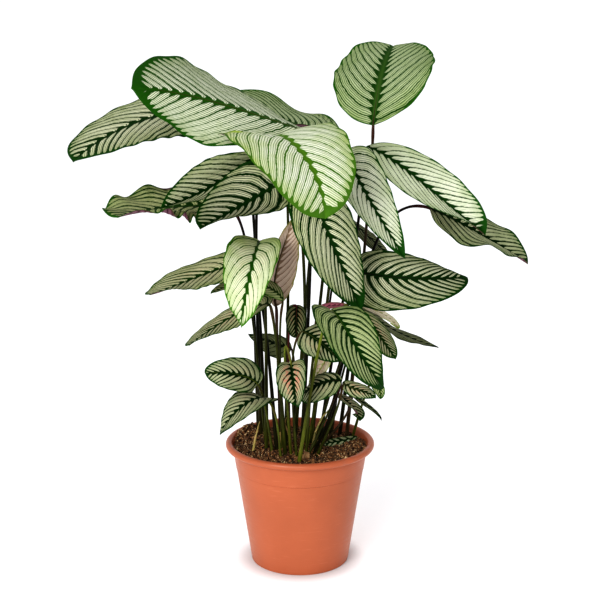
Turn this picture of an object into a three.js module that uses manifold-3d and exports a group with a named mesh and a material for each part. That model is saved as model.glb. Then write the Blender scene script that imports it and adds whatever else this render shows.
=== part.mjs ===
// Potted calathea. Millimetres, +Z up, front towards -Y. The pot stands on the plane Z = 0.
import * as THREE from 'three';
import Module from 'manifold-3d';

const wasm = await Module();
wasm.setup();

// Pot: one moulding with a rolled rim
const potHeight = 176;
const rimRadius = 105;
const beadRadius = 4.8;
const footRadius = 69.3;
const footRound = 1.5;
const stepHeight = 137;
const stepRadius = 90;
const stepOut = 0.7;
const neckHeight = 160;
const neckRadius = 94;
const wall = 1.8;
const floorThickness = 3;
const beadArcPoints = 8;
const sectors = 40;
const drainHoles = 6;
const drainRadius = 5;
const drainCircle = 48;
const drainSides = 10;

// Soil
const clearance = 0.45;
const soilLevel = 168;
const soilFallPerMm = 0.033;
const soilRings = 6;
const mound = { x: -72, y: 46, spread: 15, rise: 10 };
const hollow = { x: 36, y: 66, spread: 24, rise: -5 };
const ripple = 1.3;
const ripplePitch = 12;
const rootPlane = 160;
const rootDepth = 26;
const holeTop = 30;
const holeSides = 6;

// Leaves
const bladeThickness = 1;
const tipHalfWidth = 0.7;
const tipSharpness = 0.02;
const bend = 7;
const kneePull = 0.6;
const knots = [0, 1 / 3, 2 / 3, 1];
const acrossBlade = [-1, -0.5, 0, 0.5, 1];
const ringPoints = 2 * acrossBlade.length;
const largeBlade = [0.05, 0.14, 0.26, 0.4, 0.54, 0.68, 0.8, 0.9, 0.965, 1];
const smallBlade = [0.08, 0.2, 0.36, 0.54, 0.72, 0.87, 0.96, 1];
const largeStalk = [0.1, 0.25, 0.45, 0.65, 0.85];
const smallStalk = [0.15, 0.4, 0.7];
const largeHalfWidth = 30;
const largeStalkRadii = [2.6, 1.7];
const smallStalkRadii = [2, 1.3];
const upFront = new THREE.Vector3(0, -1, 1).normalize();

const degrees = THREE.MathUtils.degToRad;
const vector = (p) => new THREE.Vector3(...p);

// Each leaf: where its stalk stands in the soil, the point under which it bends over, four points
// along the midrib from the base of the blade to its tip, and half the blade's width. roll turns the
// blade about the line from base to tip, twist turns it along its length, and fold lifts both
// halves from the midrib. widest is where along the blade it is widest, taper how pointed the
// ends are, and skew how much wider its right half is. A waved edge has a height, a number
// of waves and a phase for each edge.
const leaves = {
  leaf_top_left: {
    root: [-8, 15], knee: [22, 0, 552],
    spine: [[30, 18, 603], [-56, -12, 634], [-138, -37, 660], [-215, -79, 674]],
    half: 78, roll: 11, twist: 45, fold: -17, widest: 0.51, taper: 1.45, skew: 0.22,
    wave: 5.5, waves: 2, phases: [-1.6, 3.5], colour: '#a9b694',
  },
  leaf_top_back: {
    root: [5, 40], knee: [52, 12, 571],
    spine: [[36, 43, 602], [2, 110, 606], [-55, 134, 624], [-108, 98, 643]],
    half: 60, roll: 32, twist: 30, fold: 4, widest: 0.43, taper: 0.85, skew: 0.03,
    wave: 6.8, waves: 3, phases: [1.3, 2], colour: '#8fa07a',
  },
  leaf_crown_front: {
    root: [6, 5], knee: [11, -33, 588],
    spine: [[-44, -62, 590], [-24, -106, 616], [11, -152, 588], [32, -163, 519]],
    half: 75, roll: -17, twist: -20, fold: 6, widest: 0.38, taper: 0.78, skew: 0.04,
    colour: '#cdd0a0',
  },
  leaf_top_right: {
    root: [67, 40], knee: [101, 36, 569],
    spine: [[99, 21, 617], [108, 68, 661], [122, 128, 700], [135, 170, 717]],
    half: 71, roll: -14, twist: -7, fold: 10, widest: 0.46, taper: 1.36, skew: 0.09,
    wave: 3.9, waves: 2, phases: [2.8, -2.9], colour: '#9db084',
  },
  leaf_upper_left: {
    root: [-50, 55], knee: [-65, 42, 539],
    spine: [[-77, 24, 625], [-162, 44, 633], [-242, 21, 612], [-301, -33, 574]],
    half: 65, roll: 23, twist: -17, fold: 1, widest: 0.45, taper: 0.78, skew: -0.05,
    point: 0.04, colour: '#a7b18c',
  },
  leaf_left_wavy: {
    root: [-60, 47], knee: [-67, 50, 475],
    spine: [[-97, 64, 496], [-164, 73, 497], [-216, 32, 497], [-243, -30, 500]],
    half: 59, roll: 28, twist: -39, fold: 9, widest: 0.52, taper: 1.17, skew: -0.02,
    point: 0.04, wave: 6.5, waves: 5, phases: [-1, 3.7], colour: '#98a680',
  },
  leaf_left_rear: {
    root: [-56, 39], knee: [-65, 28, 527],
    spine: [[-51, 5, 582], [-95, 20, 549], [-141, 5, 524], [-188, -24, 510]],
    half: 43, roll: -18, twist: -42, fold: 49, widest: 0.42, taper: 1.25, skew: 0,
    colour: '#a3ad86',
  },
  leaf_left_front: {
    root: [-20, -7], knee: [-14, 14, 504],
    spine: [[-19, -13, 547], [-61, -27, 524], [-98, -52, 506], [-130, -89, 494]],
    half: 49, roll: 8, twist: -45, fold: 24, widest: 0.3, taper: 0.8, skew: -0.02,
    colour: '#b3b894',
  },
  leaf_mid_left: {
    root: [-32, -27], knee: [-51, -4, 415],
    spine: [[-73, -1, 432], [-122, 11, 416], [-168, -12, 402], [-201, -55, 399]],
    half: 43, roll: 32, twist: -28, fold: 4, widest: 0.46, taper: 1.16, skew: -0.05,
    wave: 2, waves: 2, phases: [0, 2.4], colour: '#93a378',
  },
  leaf_mid_pale: {
    root: [-47, -17], knee: [-46, -22, 472],
    spine: [[-54, -23, 466], [-61, -82, 451], [-70, -117, 412], [-78, -90, 362]],
    half: 38, roll: 5, twist: -17, fold: 21, widest: 0.33, taper: 1.43, skew: 0.02,
    colour: '#c8cc9c',
  },
  leaf_mid_drooping: {
    root: [-26, -16], knee: [-32, -28, 343],
    spine: [[-32, -23, 375], [-33, -15, 416], [-22, -15, 456], [-10, -13, 495]],
    half: 32, roll: 137, twist: -6, fold: 17, widest: 0.39, taper: 1.2, skew: -0.01,
    colour: '#8d6f6c',
  },
  leaf_mid_small: {
    root: [-24, -31], knee: [-30, -42, 370],
    spine: [[-22, -47, 388], [-30, -51, 400], [-42, -52, 408], [-56, -52, 414]],
    half: 12, roll: -1, twist: 1, fold: -18, widest: 0.58, taper: 1.22, skew: 0.1,
    colour: '#8f9a6c',
  },
  leaf_mid_peeking: {
    root: [-48, 7], knee: [-67, 13, 375],
    spine: [[-76, 13, 404], [-92, 9, 399], [-108, 7, 393], [-124, 5, 387]],
    half: 13, roll: 32, twist: 0, fold: 14, widest: 0.42, taper: 1.2, skew: 0,
    colour: '#8d9a70',
  },
  leaf_low_mid_left: {
    root: [-20, -43], knee: [-32, -50, 355],
    spine: [[-40, -65, 388], [-80, -37, 370], [-121, -53, 349], [-146, -100, 341]],
    half: 32, roll: 37, twist: -24, fold: -1, widest: 0.44, taper: 1.14, skew: -0.08,
    colour: '#8ea072',
  },
  leaf_behind_stems: {
    root: [-8, 43], knee: [-6, 55, 270],
    spine: [[-12, 59, 294], [-33, 68, 298], [-54, 75, 304], [-76, 79, 309]],
    half: 20, roll: -64, twist: 45, fold: 20, widest: 0.36, taper: 1.32, skew: -0.07,
    colour: '#6f7c57',
  },
  leaf_inner_dark: {
    root: [-14, -27], knee: [-19, -19, 386],
    spine: [[-4, -14, 375], [-5, -25, 364], [-5, -34, 348], [-5, -31, 332]],
    half: 14, roll: 0, twist: 3, fold: 5, widest: 0.44, taper: 1.01, skew: 0.04,
    colour: '#5d6a48',
  },
  leaf_lower_shaded: {
    root: [-4, -54], knee: [-17, -31, 329],
    spine: [[4, -50, 347], [19, -66, 342], [36, -74, 330], [55, -70, 310]],
    half: 26, roll: 10, twist: -10, fold: -10, widest: 0.34, taper: 1, skew: -0.05,
    colour: '#8d8f6b',
  },
  leaf_lower_front: {
    root: [-3, -82], knee: [29, -87, 371],
    spine: [[40, -95, 388], [57, -138, 375], [80, -163, 340], [109, -143, 295]],
    half: 39, roll: -12, twist: -3, fold: 18, widest: 0.34, taper: 1.18, skew: 0.11,
    colour: '#b9c184',
  },
  leaf_lower_rolled: {
    root: [8, -40], knee: [21, -38, 367],
    spine: [[24, -34, 373], [38, -31, 377], [52, -30, 378], [65, -29, 379]],
    half: 8, roll: -26, twist: 0, fold: 4, widest: 0.42, taper: 1.2, skew: 0,
    colour: '#9a6a74',
  },
  leaf_lower_right: {
    root: [17, -13], knee: [65, -26, 338],
    spine: [[84, -42, 374], [98, -55, 355], [113, -66, 335], [128, -79, 316]],
    half: 21, roll: -24, twist: -16, fold: -4, widest: 0.44, taper: 1.22, skew: 0.01,
    colour: '#9a9a7c',
  },
  leaf_lower_edgewise: {
    root: [30, 3], knee: [72, -3, 343],
    spine: [[83, -14, 372], [113, -22, 350], [152, -9, 327], [192, -15, 315]],
    half: 20, roll: -42, twist: 0, fold: 0, widest: 0.43, taper: 1.2, skew: 0,
    wave: 1.7, waves: 2, phases: [-1.8, 4.3], colour: '#6f7a5c',
  },
  leaf_lower_pale: {
    root: [34, 23], knee: [78, 13, 339],
    spine: [[87, 35, 362], [106, 18, 359], [125, 28, 346], [137, 14, 333]],
    half: 18, roll: -41, twist: 3, fold: 1, widest: 0.42, taper: 1.22, skew: 0.01,
    colour: '#cfd0a6',
  },
  leaf_right_middle: {
    root: [28, 33], knee: [57, 20, 376],
    spine: [[72, 30, 414], [115, -22, 417], [173, -38, 417], [229, -12, 414]],
    half: 42, roll: 15, twist: 45, fold: -3, widest: 0.34, taper: 0.95, skew: 0.14,
    colour: '#a6b08a',
  },
  leaf_centre_large: {
    root: [2, -20], knee: [19, -21, 505],
    spine: [[12, -51, 544], [33, -80, 496], [56, -71, 438], [83, -65, 379]],
    half: 45, roll: -15, twist: 31, fold: 13, widest: 0.38, taper: 1.08, skew: 0.14,
    colour: '#b4bb98',
  },
  leaf_right_hanging: {
    root: [14, 7], knee: [54, -2, 525],
    spine: [[62, -5, 586], [81, -30, 544], [108, -59, 499], [138, -81, 452]],
    half: 42, roll: 14, twist: -5, fold: 43, widest: 0.32, taper: 1.26, skew: -0.04,
    colour: '#a3ad86',
  },
  leaf_right_upper: {
    root: [42, 15], knee: [85, 1, 531],
    spine: [[89, -21, 593], [142, 13, 559], [200, 17, 511], [250, -25, 474]],
    half: 46, roll: 15, twist: 43, fold: 49, widest: 0.48, taper: 0.92, skew: 0.18,
    colour: '#a9b28e',
  },
  leaf_right_far: {
    root: [57, 51], knee: [98, 48, 524],
    spine: [[178, 18, 504], [224, 37, 479], [272, 41, 451], [318, 27, 424]],
    half: 42, roll: -18, twist: 45, fold: 22, widest: 0.43, taper: 0.78, skew: 0.22,
    wave: 6.3, waves: 2, phases: [0.5, 4.2], colour: '#8d9a80',
  },
  leaf_right_shaded: {
    root: [16, 29], knee: [54, 77, 448],
    spine: [[62, 91, 487], [84, 71, 466], [111, 69, 442], [133, 93, 419]],
    half: 23, roll: -36, twist: -17, fold: -4, widest: 0.42, taper: 1.21, skew: -0.02,
    colour: '#76835c',
  },
  leaf_low_left: {
    root: [-37, -39], knee: [-50, -31, 255],
    spine: [[-57, -58, 274], [-73, -68, 288], [-100, -80, 297], [-128, -69, 292]],
    half: 24, roll: -24, twist: 45, fold: 15, widest: 0.43, taper: 1.14, skew: 0,
    wave: 1.4, waves: 3, phases: [0.5, 2.2], colour: '#8f9a72',
  },
  leaf_lowest_left: {
    root: [-26, -55], knee: [-31, -53, 231],
    spine: [[-41, -43, 244], [-61, -76, 259], [-87, -94, 245], [-108, -91, 214]],
    half: 28, roll: 26, twist: -4, fold: 10, widest: 0.41, taper: 1.2, skew: -0.07,
    colour: '#8f9c74',
  },
  leaf_low_pink: {
    root: [-12, -43], knee: [-26, -80, 381],
    spine: [[-12, -79, 310], [-10, -97, 298], [-7, -106, 279], [-5, -101, 257]],
    half: 24, roll: 22, twist: -43, fold: 30, widest: 0.37, taper: 1.05, skew: -0.05,
    colour: '#a88a80',
  },
  leaf_low_right_front: {
    root: [16, -36], knee: [49, -58, 248],
    spine: [[56, -76, 285], [33, -76, 283], [13, -68, 271], [1, -42, 252]],
    half: 23, roll: 4, twist: 0, fold: -13, widest: 0.41, taper: 1.17, skew: -0.08,
    colour: '#95a078',
  },
  leaf_low_right: {
    root: [20, -45], knee: [55, -71, 249],
    spine: [[58, -67, 280], [73, -66, 271], [88, -72, 268], [102, -80, 262]],
    half: 12, roll: 1, twist: 10, fold: -14, widest: 0.42, taper: 1.13, skew: 0,
    colour: '#929c76',
  },
  leaf_low_torn: {
    root: [4, -62], knee: [41, -38, 229],
    spine: [[51, -9, 248], [63, -49, 248], [74, -45, 235], [82, -59, 223]],
    half: 18, roll: -34, twist: -12, fold: 15, widest: 0.45, taper: 1.13, skew: -0.03,
    colour: '#8b9670',
  },
  leaf_low_narrow: {
    root: [14, -28], knee: [74, -39, 228],
    spine: [[72, -25, 254], [81, -47, 249], [98, -45, 236], [112, -53, 222]],
    half: 7, roll: -42, twist: 0, fold: 1, widest: 0.42, taper: 1.2, skew: 0,
    colour: '#5c5a48',
  },
  leaf_low_curled: {
    root: [74, 36], knee: [94, -33, 271],
    spine: [[100, -46, 277], [105, -54, 271], [109, -56, 263], [109, -57, 253]],
    half: 8, roll: 17, twist: 2, fold: 10, widest: 0.43, taper: 1.17, skew: 0.01,
    colour: '#8a8a66',
  },
  leaf_low_translucent: {
    root: [8, -16], knee: [42, -33, 344],
    spine: [[43, -48, 323], [34, -39, 301], [24, -30, 281], [12, -25, 262]],
    half: 18, roll: 26, twist: -24, fold: 11, widest: 0.42, taper: 1.16, skew: 0.07,
    colour: '#d3cdb6',
  },
};

// Cubic through the four midrib points, and its direction
function spinePoint(spine, u, derivative = false) {
  const sum = new THREE.Vector3();
  knots.forEach((knot, i) => {
    const others = knots.filter((_, j) => j !== i);
    const scale = others.reduce((product, k) => product * (knot - k), 1);
    const [a, b, c] = others.map((k) => u - k);
    const weight = derivative ? a * b + b * c + a * c : a * b * c;
    sum.addScaledVector(vector(spine[i]), weight / scale);
  });
  return sum;
}

function stalkPoint(leaf, t) {
  const root = new THREE.Vector3(...leaf.root, rootPlane);
  const knee = vector(leaf.knee);
  const lower = root.clone().lerp(knee, kneePull);
  return new THREE.CubicBezierCurve3(root, lower, knee, vector(leaf.spine[0])).getPoint(t);
}

// Directions along the blade, across it and out of its face
function bladeFrame(leaf, u) {
  const chord = vector(leaf.spine[3]).sub(vector(leaf.spine[0])).normalize();
  const face = upFront.clone().addScaledVector(chord, -upFront.dot(chord)).normalize();
  face.applyAxisAngle(chord, degrees(leaf.roll));
  const along = spinePoint(leaf.spine, u, true).normalize();
  const side = along.clone().cross(face).normalize();
  const normal = side.clone().cross(along);
  const turn = -degrees(leaf.twist) * (u - 0.5);
  side.applyAxisAngle(along, turn);
  normal.applyAxisAngle(along, turn);
  return { along, side, normal };
}

function halfWidth(leaf, u) {
  const rise = (u / leaf.widest) ** (leaf.taper * leaf.widest);
  const fall = ((1 - u) / (1 - leaf.widest)) ** (leaf.taper * (1 - leaf.widest));
  const pointed = 1 - Math.exp((u - 1) / (leaf.point ?? tipSharpness));
  return Math.max(leaf.half * rise * fall * pointed, tipHalfWidth);
}

function edgeWave(leaf, u, v) {
  if (!leaf.wave) return 0;
  const phase = v > 0 ? leaf.phases[0] : leaf.phases[1];
  return leaf.wave * Math.sqrt(Math.sin(Math.PI * u)) * Math.sin(2 * Math.PI * leaf.waves * u + phase);
}

// One closed ring round the blade: its face from left to right, then its back from right to left
function bladeRing(leaf, u, grow) {
  const { side, normal } = bladeFrame(leaf, u);
  const centre = spinePoint(leaf.spine, u);
  const width = halfWidth(leaf, u) + grow;
  const fold = degrees(leaf.fold);
  const lift = (bladeThickness / 2 + grow) / Math.cos(fold);
  const place = (v, face) => {
    const rise = width * Math.abs(v) * Math.sin(fold) + edgeWave(leaf, u, v) * v * v;
    return centre.clone()
      .addScaledVector(side, width * (1 + leaf.skew * v) * v * Math.cos(fold))
      .addScaledVector(normal, rise + face * lift);
  };
  const front = acrossBlade.map((v) => place(v, 1));
  const back = acrossBlade.map((v) => place(v, -1)).reverse();
  return [...front, ...back];
}

// Rings round a path, their frames carried back along it from a given last frame
function tubeRings(points, radii, last, sides) {
  const rings = [];
  let { along, side } = last;
  for (let i = points.length - 1; i >= 0; i -= 1) {
    const before = points[Math.max(i - 1, 0)];
    const after = points[Math.min(i + 1, points.length - 1)];
    const inward = points[i].clone().sub(before).normalize();
    const outward = after.clone().sub(points[i]).normalize();
    const direction = inward.add(outward).normalize();
    const carry = new THREE.Quaternion().setFromUnitVectors(along, direction);
    side = side.clone().applyQuaternion(carry);
    along = direction;
    const up = side.clone().cross(along);
    const ring = [];
    for (let k = 0; k < sides; k += 1) {
      const angle = Math.PI - (2 * Math.PI * (k + 0.5)) / sides;
      ring.push(points[i].clone()
        .addScaledVector(side, radii[i] * Math.cos(angle))
        .addScaledVector(up, radii[i] * Math.sin(angle)));
    }
    rings.unshift(ring);
  }
  return rings;
}

// A closed solid through rings of as many points each. The triangles on the front and the back of
// a blade are split alike.
function loft(rings) {
  const count = rings[0].length;
  const positions = rings.flat().flatMap((p) => [p.x, p.y, p.z]);
  const faces = [];
  for (let i = 0; i + 1 < rings.length; i += 1) {
    for (let k = 0; k < count; k += 1) {
      const a = i * count + k;
      const b = i * count + ((k + 1) % count);
      const c = a + count;
      const d = b + count;
      if (k < count / 2) faces.push(a, d, c, a, b, d);
      else faces.push(a, b, c, b, d, c);
    }
  }
  const end = (rings.length - 1) * count;
  for (let k = 1; k + 1 < count; k += 1) {
    faces.push(0, k + 1, k);
    faces.push(end, end + k, end + k + 1);
  }
  const geometry = new THREE.BufferGeometry();
  geometry.setAttribute('position', new THREE.Float32BufferAttribute(positions, 3));
  geometry.setIndex(faces);
  return geometry;
}

function stalkRadii(leaf) {
  return leaf.half >= largeHalfWidth ? largeStalkRadii : smallStalkRadii;
}

// The buried foot of a stalk, in line with its first length above the soil
function stalkFoot(leaf, depth) {
  const root = stalkPoint(leaf, 0);
  const first = stalkPoint(leaf, leaf.half >= largeHalfWidth ? largeStalk[0] : smallStalk[0]);
  const line = first.sub(root).normalize();
  return root.addScaledVector(line, -depth);
}

function leafGeometry(leaf) {
  const large = leaf.half >= largeHalfWidth;
  const bladeStations = large ? largeBlade : smallBlade;
  const stalkStations = large ? largeStalk : smallStalk;
  const base = vector(leaf.spine[0]);
  const reach = Math.min(bend / (3 * base.distanceTo(vector(leaf.knee))), 0.25);
  const points = [stalkFoot(leaf, rootDepth)];
  stalkStations.forEach((t) => points.push(stalkPoint(leaf, t)));
  const bent = stalkPoint(leaf, 1 - reach);
  const bladeStart = spinePoint(leaf.spine, bladeStations[0]);
  points.push(bent);
  points.push(base.clone().multiplyScalar(2).add(bent).add(bladeStart).divideScalar(4));
  points.push(bladeStart);
  const [low, high] = stalkRadii(leaf);
  const radii = points.map((_, i) => low + ((high - low) * i) / (points.length - 1));
  const rings = tubeRings(points, radii, bladeFrame(leaf, bladeStations[0]), ringPoints);
  rings.pop();
  bladeStations.forEach((u) => rings.push(bladeRing(leaf, u, 0)));
  return loft(rings);
}

function solidOf(geometry) {
  return new wasm.Manifold(new wasm.Mesh({
    numProp: 3,
    vertProperties: new Float32Array(geometry.attributes.position.array),
    triVerts: new Uint32Array(geometry.index.array),
  }));
}

function geometryOf(solid) {
  const mesh = solid.getMesh();
  const geometry = new THREE.BufferGeometry();
  geometry.setAttribute('position', new THREE.BufferAttribute(new Float32Array(mesh.vertProperties), 3));
  geometry.setIndex(Array.from(mesh.triVerts));
  return geometry;
}

// Dry stalks: points from the soil up, and the radius at each
const dryStalks = {
  dry_stub_left: {
    points: [[-67, -31, 160], [-62, -28, 188], [-56, -24, 211]],
    radii: [2.2, 1.7, 0.6], colour: '#8b8146',
  },
  dry_stub_node: {
    points: [[-26, -24, 160], [-27, -24, 186], [-28, -24, 191], [-24, -24, 197], [-19, -24, 216]],
    radii: [2, 1.6, 2.8, 1.8, 0.6], colour: '#9a7a4e',
  },
  dry_sheath: {
    points: [[-9, -33, 160], [-14, -35, 190], [-21, -36, 212]],
    radii: [2, 1.8, 0.6], colour: '#7a5a44',
  },
  young_shoot: {
    points: [[14, -24, 160], [21, -25, 195], [31, -24, 217], [44, -22, 231]],
    radii: [1.6, 1.5, 1.4, 0.5], colour: '#5e6b3c',
  },
};
const drySides = 8;

function dryStalkGeometry({ points, radii }) {
  const path = points.map(vector);
  const line = path[1].clone().sub(path[0]).normalize();
  path[0].addScaledVector(line, -rootDepth);
  return loft(tubeRings(path, radii, upright(path), drySides));
}

function upright(path) {
  const along = path.at(-1).clone().sub(path.at(-2)).normalize();
  const side = new THREE.Vector3(1, 0, 0).cross(along).normalize();
  return { along, side };
}

// A plain straight hole that clears a stalk standing in the soil
function stalkHole(foot, above, radius) {
  const line = above.clone().sub(foot).normalize();
  const low = foot.clone().addScaledVector(line, -clearance);
  const high = foot.clone().addScaledVector(line, rootDepth + holeTop);
  const open = (radius + clearance) / Math.cos(Math.PI / holeSides);
  return loft(tubeRings([low, high], [open, open], upright([low, high]), holeSides));
}

// Things lying on the soil: a fallen rolled leaf, a bark chip on edge and a rolled flake
const fallenLeaf = {
  spine: [[82, 29, 170.5], [65, 14, 170.5], [47, 2, 171], [32, -6, 171.5]],
  half: 7, roll: -35, twist: 0, fold: 32, widest: 0.6, taper: 1.1, skew: 0,
};
const barkChip = {
  points: [[9, -68, 165], [8, -68, 173], [10, -67, 181]],
  widths: [4.5, 6, 3.5],
  thick: 2,
};
const barkFlake = {
  points: [[15, -6, 168.5], [21, -6, 169], [26, -7, 168.5]],
  widths: [2, 2.4, 1.8],
  thick: 1.6,
};

function fallenLeafGeometry(grow) {
  const rings = smallBlade.map((u) => bladeRing(fallenLeaf, u, grow));
  return loft(lengthened(rings, grow));
}

// Rings with both ends moved outwards
function lengthened(rings, grow) {
  const middle = (ring) => ring.reduce((sum, p) => sum.add(p), new THREE.Vector3()).divideScalar(ring.length);
  const moved = (ring, next) => {
    const outward = middle(ring).sub(middle(next)).setLength(grow);
    return ring.map((p) => p.clone().add(outward));
  };
  return [moved(rings[0], rings[1]), ...rings.slice(1, -1), moved(rings.at(-1), rings.at(-2))];
}

// A flat piece with an eight-sided section, wider across than it is thick
function chipGeometry({ points, widths, thick }, grow) {
  const path = points.map(vector);
  const rings = tubeRings(path, widths.map(() => 1), upright(path), drySides);
  const { side } = upright(path);
  const stretched = rings.map((ring, i) => ring.map((p) => {
    const offset = p.clone().sub(path[i]);
    const across = side.clone().multiplyScalar(offset.dot(side));
    const through = offset.sub(across);
    return path[i].clone()
      .addScaledVector(across, thick + grow)
      .addScaledVector(through, widths[i] + grow);
  }));
  return loft(lengthened(stretched, grow));
}

function arcPoints(centre, radius, from, to, count) {
  const points = [];
  for (let i = 0; i <= count; i += 1) {
    const angle = degrees(from + ((to - from) * i) / count);
    points.push([centre[0] + radius * Math.cos(angle), centre[1] + radius * Math.sin(angle)]);
  }
  return points;
}

// The pot's inner wall from the floor up: radius and height
const beadCentre = [rimRadius - beadRadius, potHeight - beadRadius];
const innerWall = [
  [footRadius - wall, floorThickness],
  [stepRadius - wall, stepHeight],
  [stepRadius + stepOut - wall, stepHeight + 1.2],
  [neckRadius - wall, neckHeight + 1.3],
  [beadCentre[0] - beadRadius, beadCentre[1]],
];

function innerRadius(z) {
  const above = innerWall.findIndex((p) => p[1] >= z);
  const [r1, z1] = innerWall[above];
  const [r0, z0] = innerWall[above - 1];
  return r0 + ((r1 - r0) * (z - z0)) / (z1 - z0);
}

function turned(profile) {
  const points = profile.map(([r, z]) => new THREE.Vector2(r, z));
  const lathe = new THREE.LatheGeometry(points, sectors).rotateX(Math.PI / 2);
  return welded(lathe);
}

// The same surface with every point held once, so that it is closed
function welded(geometry) {
  const source = geometry.attributes.position;
  const found = new Map();
  const positions = [];
  const number = [];
  for (let i = 0; i < source.count; i += 1) {
    const p = [source.getX(i), source.getY(i), source.getZ(i)].map((x) => Math.round(x * 1e4) / 1e4 + 0);
    const key = p.join();
    if (!found.has(key)) {
      found.set(key, found.size);
      positions.push(...p);
    }
    number.push(found.get(key));
  }
  const faces = [];
  const old = geometry.index.array;
  for (let i = 0; i < old.length; i += 3) {
    const [a, b, c] = [number[old[i]], number[old[i + 1]], number[old[i + 2]]];
    if (a !== b && b !== c && c !== a) faces.push(a, b, c);
  }
  const result = new THREE.BufferGeometry();
  result.setAttribute('position', new THREE.Float32BufferAttribute(positions, 3));
  result.setIndex(faces);
  return result;
}

function potGeometry() {
  const profile = [
    [0, 0],
    [footRadius - footRound, 0],
    [footRadius, footRound],
    [stepRadius, stepHeight],
    [stepRadius + stepOut, stepHeight + 1.2],
    [neckRadius, neckHeight],
    ...arcPoints(beadCentre, beadRadius, -110, 180, beadArcPoints),
    ...innerWall.slice(0, -1).reverse(),
    [0, floorThickness],
  ];
  let pot = solidOf(turned(profile));
  for (let i = 0; i < drainHoles; i += 1) {
    const angle = (2 * Math.PI * i) / drainHoles;
    const hole = new THREE.CylinderGeometry(drainRadius, drainRadius, 3 * floorThickness, drainSides);
    hole.rotateX(Math.PI / 2);
    hole.translate(drainCircle * Math.cos(angle), drainCircle * Math.sin(angle), 0);
    pot = pot.subtract(solidOf(welded(hole)));
  }
  return geometryOf(pot);
}

function bump({ x, y, spread, rise }, px, py) {
  return rise * Math.exp(-((px - x) ** 2 + (py - y) ** 2) / (2 * spread ** 2));
}

function soilHeight(x, y) {
  const rough = ripple * Math.sin(x / ripplePitch + 1) * Math.cos(y / ripplePitch);
  return soilLevel - soilFallPerMm * y + bump(mound, x, y) + bump(hollow, x, y) + rough;
}

function soilGeometry() {
  const around = (r, i) => {
    const angle = (2 * Math.PI * i) / sectors;
    return [r * Math.sin(angle), -r * Math.cos(angle)];
  };
  const edgeHeight = (i) => Math.min(soilHeight(...around(neckRadius, i)), beadCentre[1]);
  const edgeRadius = (i) => innerRadius(edgeHeight(i)) - clearance;
  const rings = [];
  innerWall.slice(0, -1).forEach(([r, z], k) => {
    const level = k === 0 ? z + clearance : z;
    rings.push((i) => [...around(r - clearance, i), level]);
  });
  rings.push((i) => [...around(edgeRadius(i), i), edgeHeight(i)]);
  for (let k = soilRings - 1; k > 0; k -= 1) {
    rings.push((i) => {
      const [x, y] = around((edgeRadius(i) * k) / soilRings, i);
      return [x, y, soilHeight(x, y)];
    });
  }
  const points = rings.flatMap((ring) => {
    const loop = [];
    for (let i = 0; i < sectors; i += 1) loop.push(vector(ring(i)));
    return [loop];
  });
  let soil = solidOf(capped(points, [0, 0, floorThickness + clearance], [0, 0, soilHeight(0, 0)]));
  standing.forEach(([foot, above, radius]) => {
    soil = soil.subtract(solidOf(stalkHole(foot, above, radius)));
  });
  soil = soil.subtract(solidOf(fallenLeafGeometry(clearance)));
  soil = soil.subtract(solidOf(chipGeometry(barkChip, clearance)));
  soil = soil.subtract(solidOf(chipGeometry(barkFlake, clearance)));
  return geometryOf(soil);
}

// Rings closed by a fan at each end
function capped(rings, first, last) {
  const count = rings[0].length;
  const positions = [first, ...rings.flat().map((p) => [p.x, p.y, p.z]), last].flat();
  const faces = [];
  const top = rings.length * count + 1;
  for (let k = 0; k < count; k += 1) {
    const next = (k + 1) % count;
    faces.push(0, 1 + next, 1 + k);
    for (let i = 0; i + 1 < rings.length; i += 1) {
      const a = 1 + i * count + k;
      const b = 1 + i * count + next;
      faces.push(a, b, b + count, a, b + count, a + count);
    }
    faces.push(top, top - count + k, top - count + next);
  }
  const geometry = new THREE.BufferGeometry();
  geometry.setAttribute('position', new THREE.Float32BufferAttribute(positions, 3));
  geometry.setIndex(faces);
  return geometry;
}

// Foot, a point above it and radius of all that stands in the soil
const standing = [
  ...Object.values(leaves).map((leaf) => {
    const [radius] = stalkRadii(leaf);
    return [stalkFoot(leaf, rootDepth), stalkPoint(leaf, 0), radius];
  }),
  ...Object.values(dryStalks).map(({ points, radii }) => {
    const low = vector(points[0]);
    const high = vector(points[1]);
    const foot = low.clone().addScaledVector(high.clone().sub(low).normalize(), -rootDepth);
    return [foot, low, radii[0]];
  }),
];

const group = new THREE.Group();

function add(name, geometry, colour, roughness) {
  const material = new THREE.MeshStandardMaterial({ color: colour, roughness, metalness: 0 });
  const mesh = new THREE.Mesh(geometry, material);
  mesh.name = name;
  group.add(mesh);
}

add('pot', potGeometry(), '#d4724c', 0.45);
add('soil', soilGeometry(), '#3a2a20', 0.95);
Object.entries(leaves).forEach(([name, leaf]) => {
  add(name, leafGeometry(leaf), leaf.colour, 0.5);
});
Object.entries(dryStalks).forEach(([name, stalk]) => {
  add(name, dryStalkGeometry(stalk), stalk.colour, 0.7);
});
add('fallen_leaf', fallenLeafGeometry(0), '#6d7a55', 0.6);
add('bark_chip', chipGeometry(barkChip, 0), '#5e4534', 0.9);
add('bark_flake', chipGeometry(barkFlake, 0), '#8a5c40', 0.9);

export default group;
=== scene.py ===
import functools
import math

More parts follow.
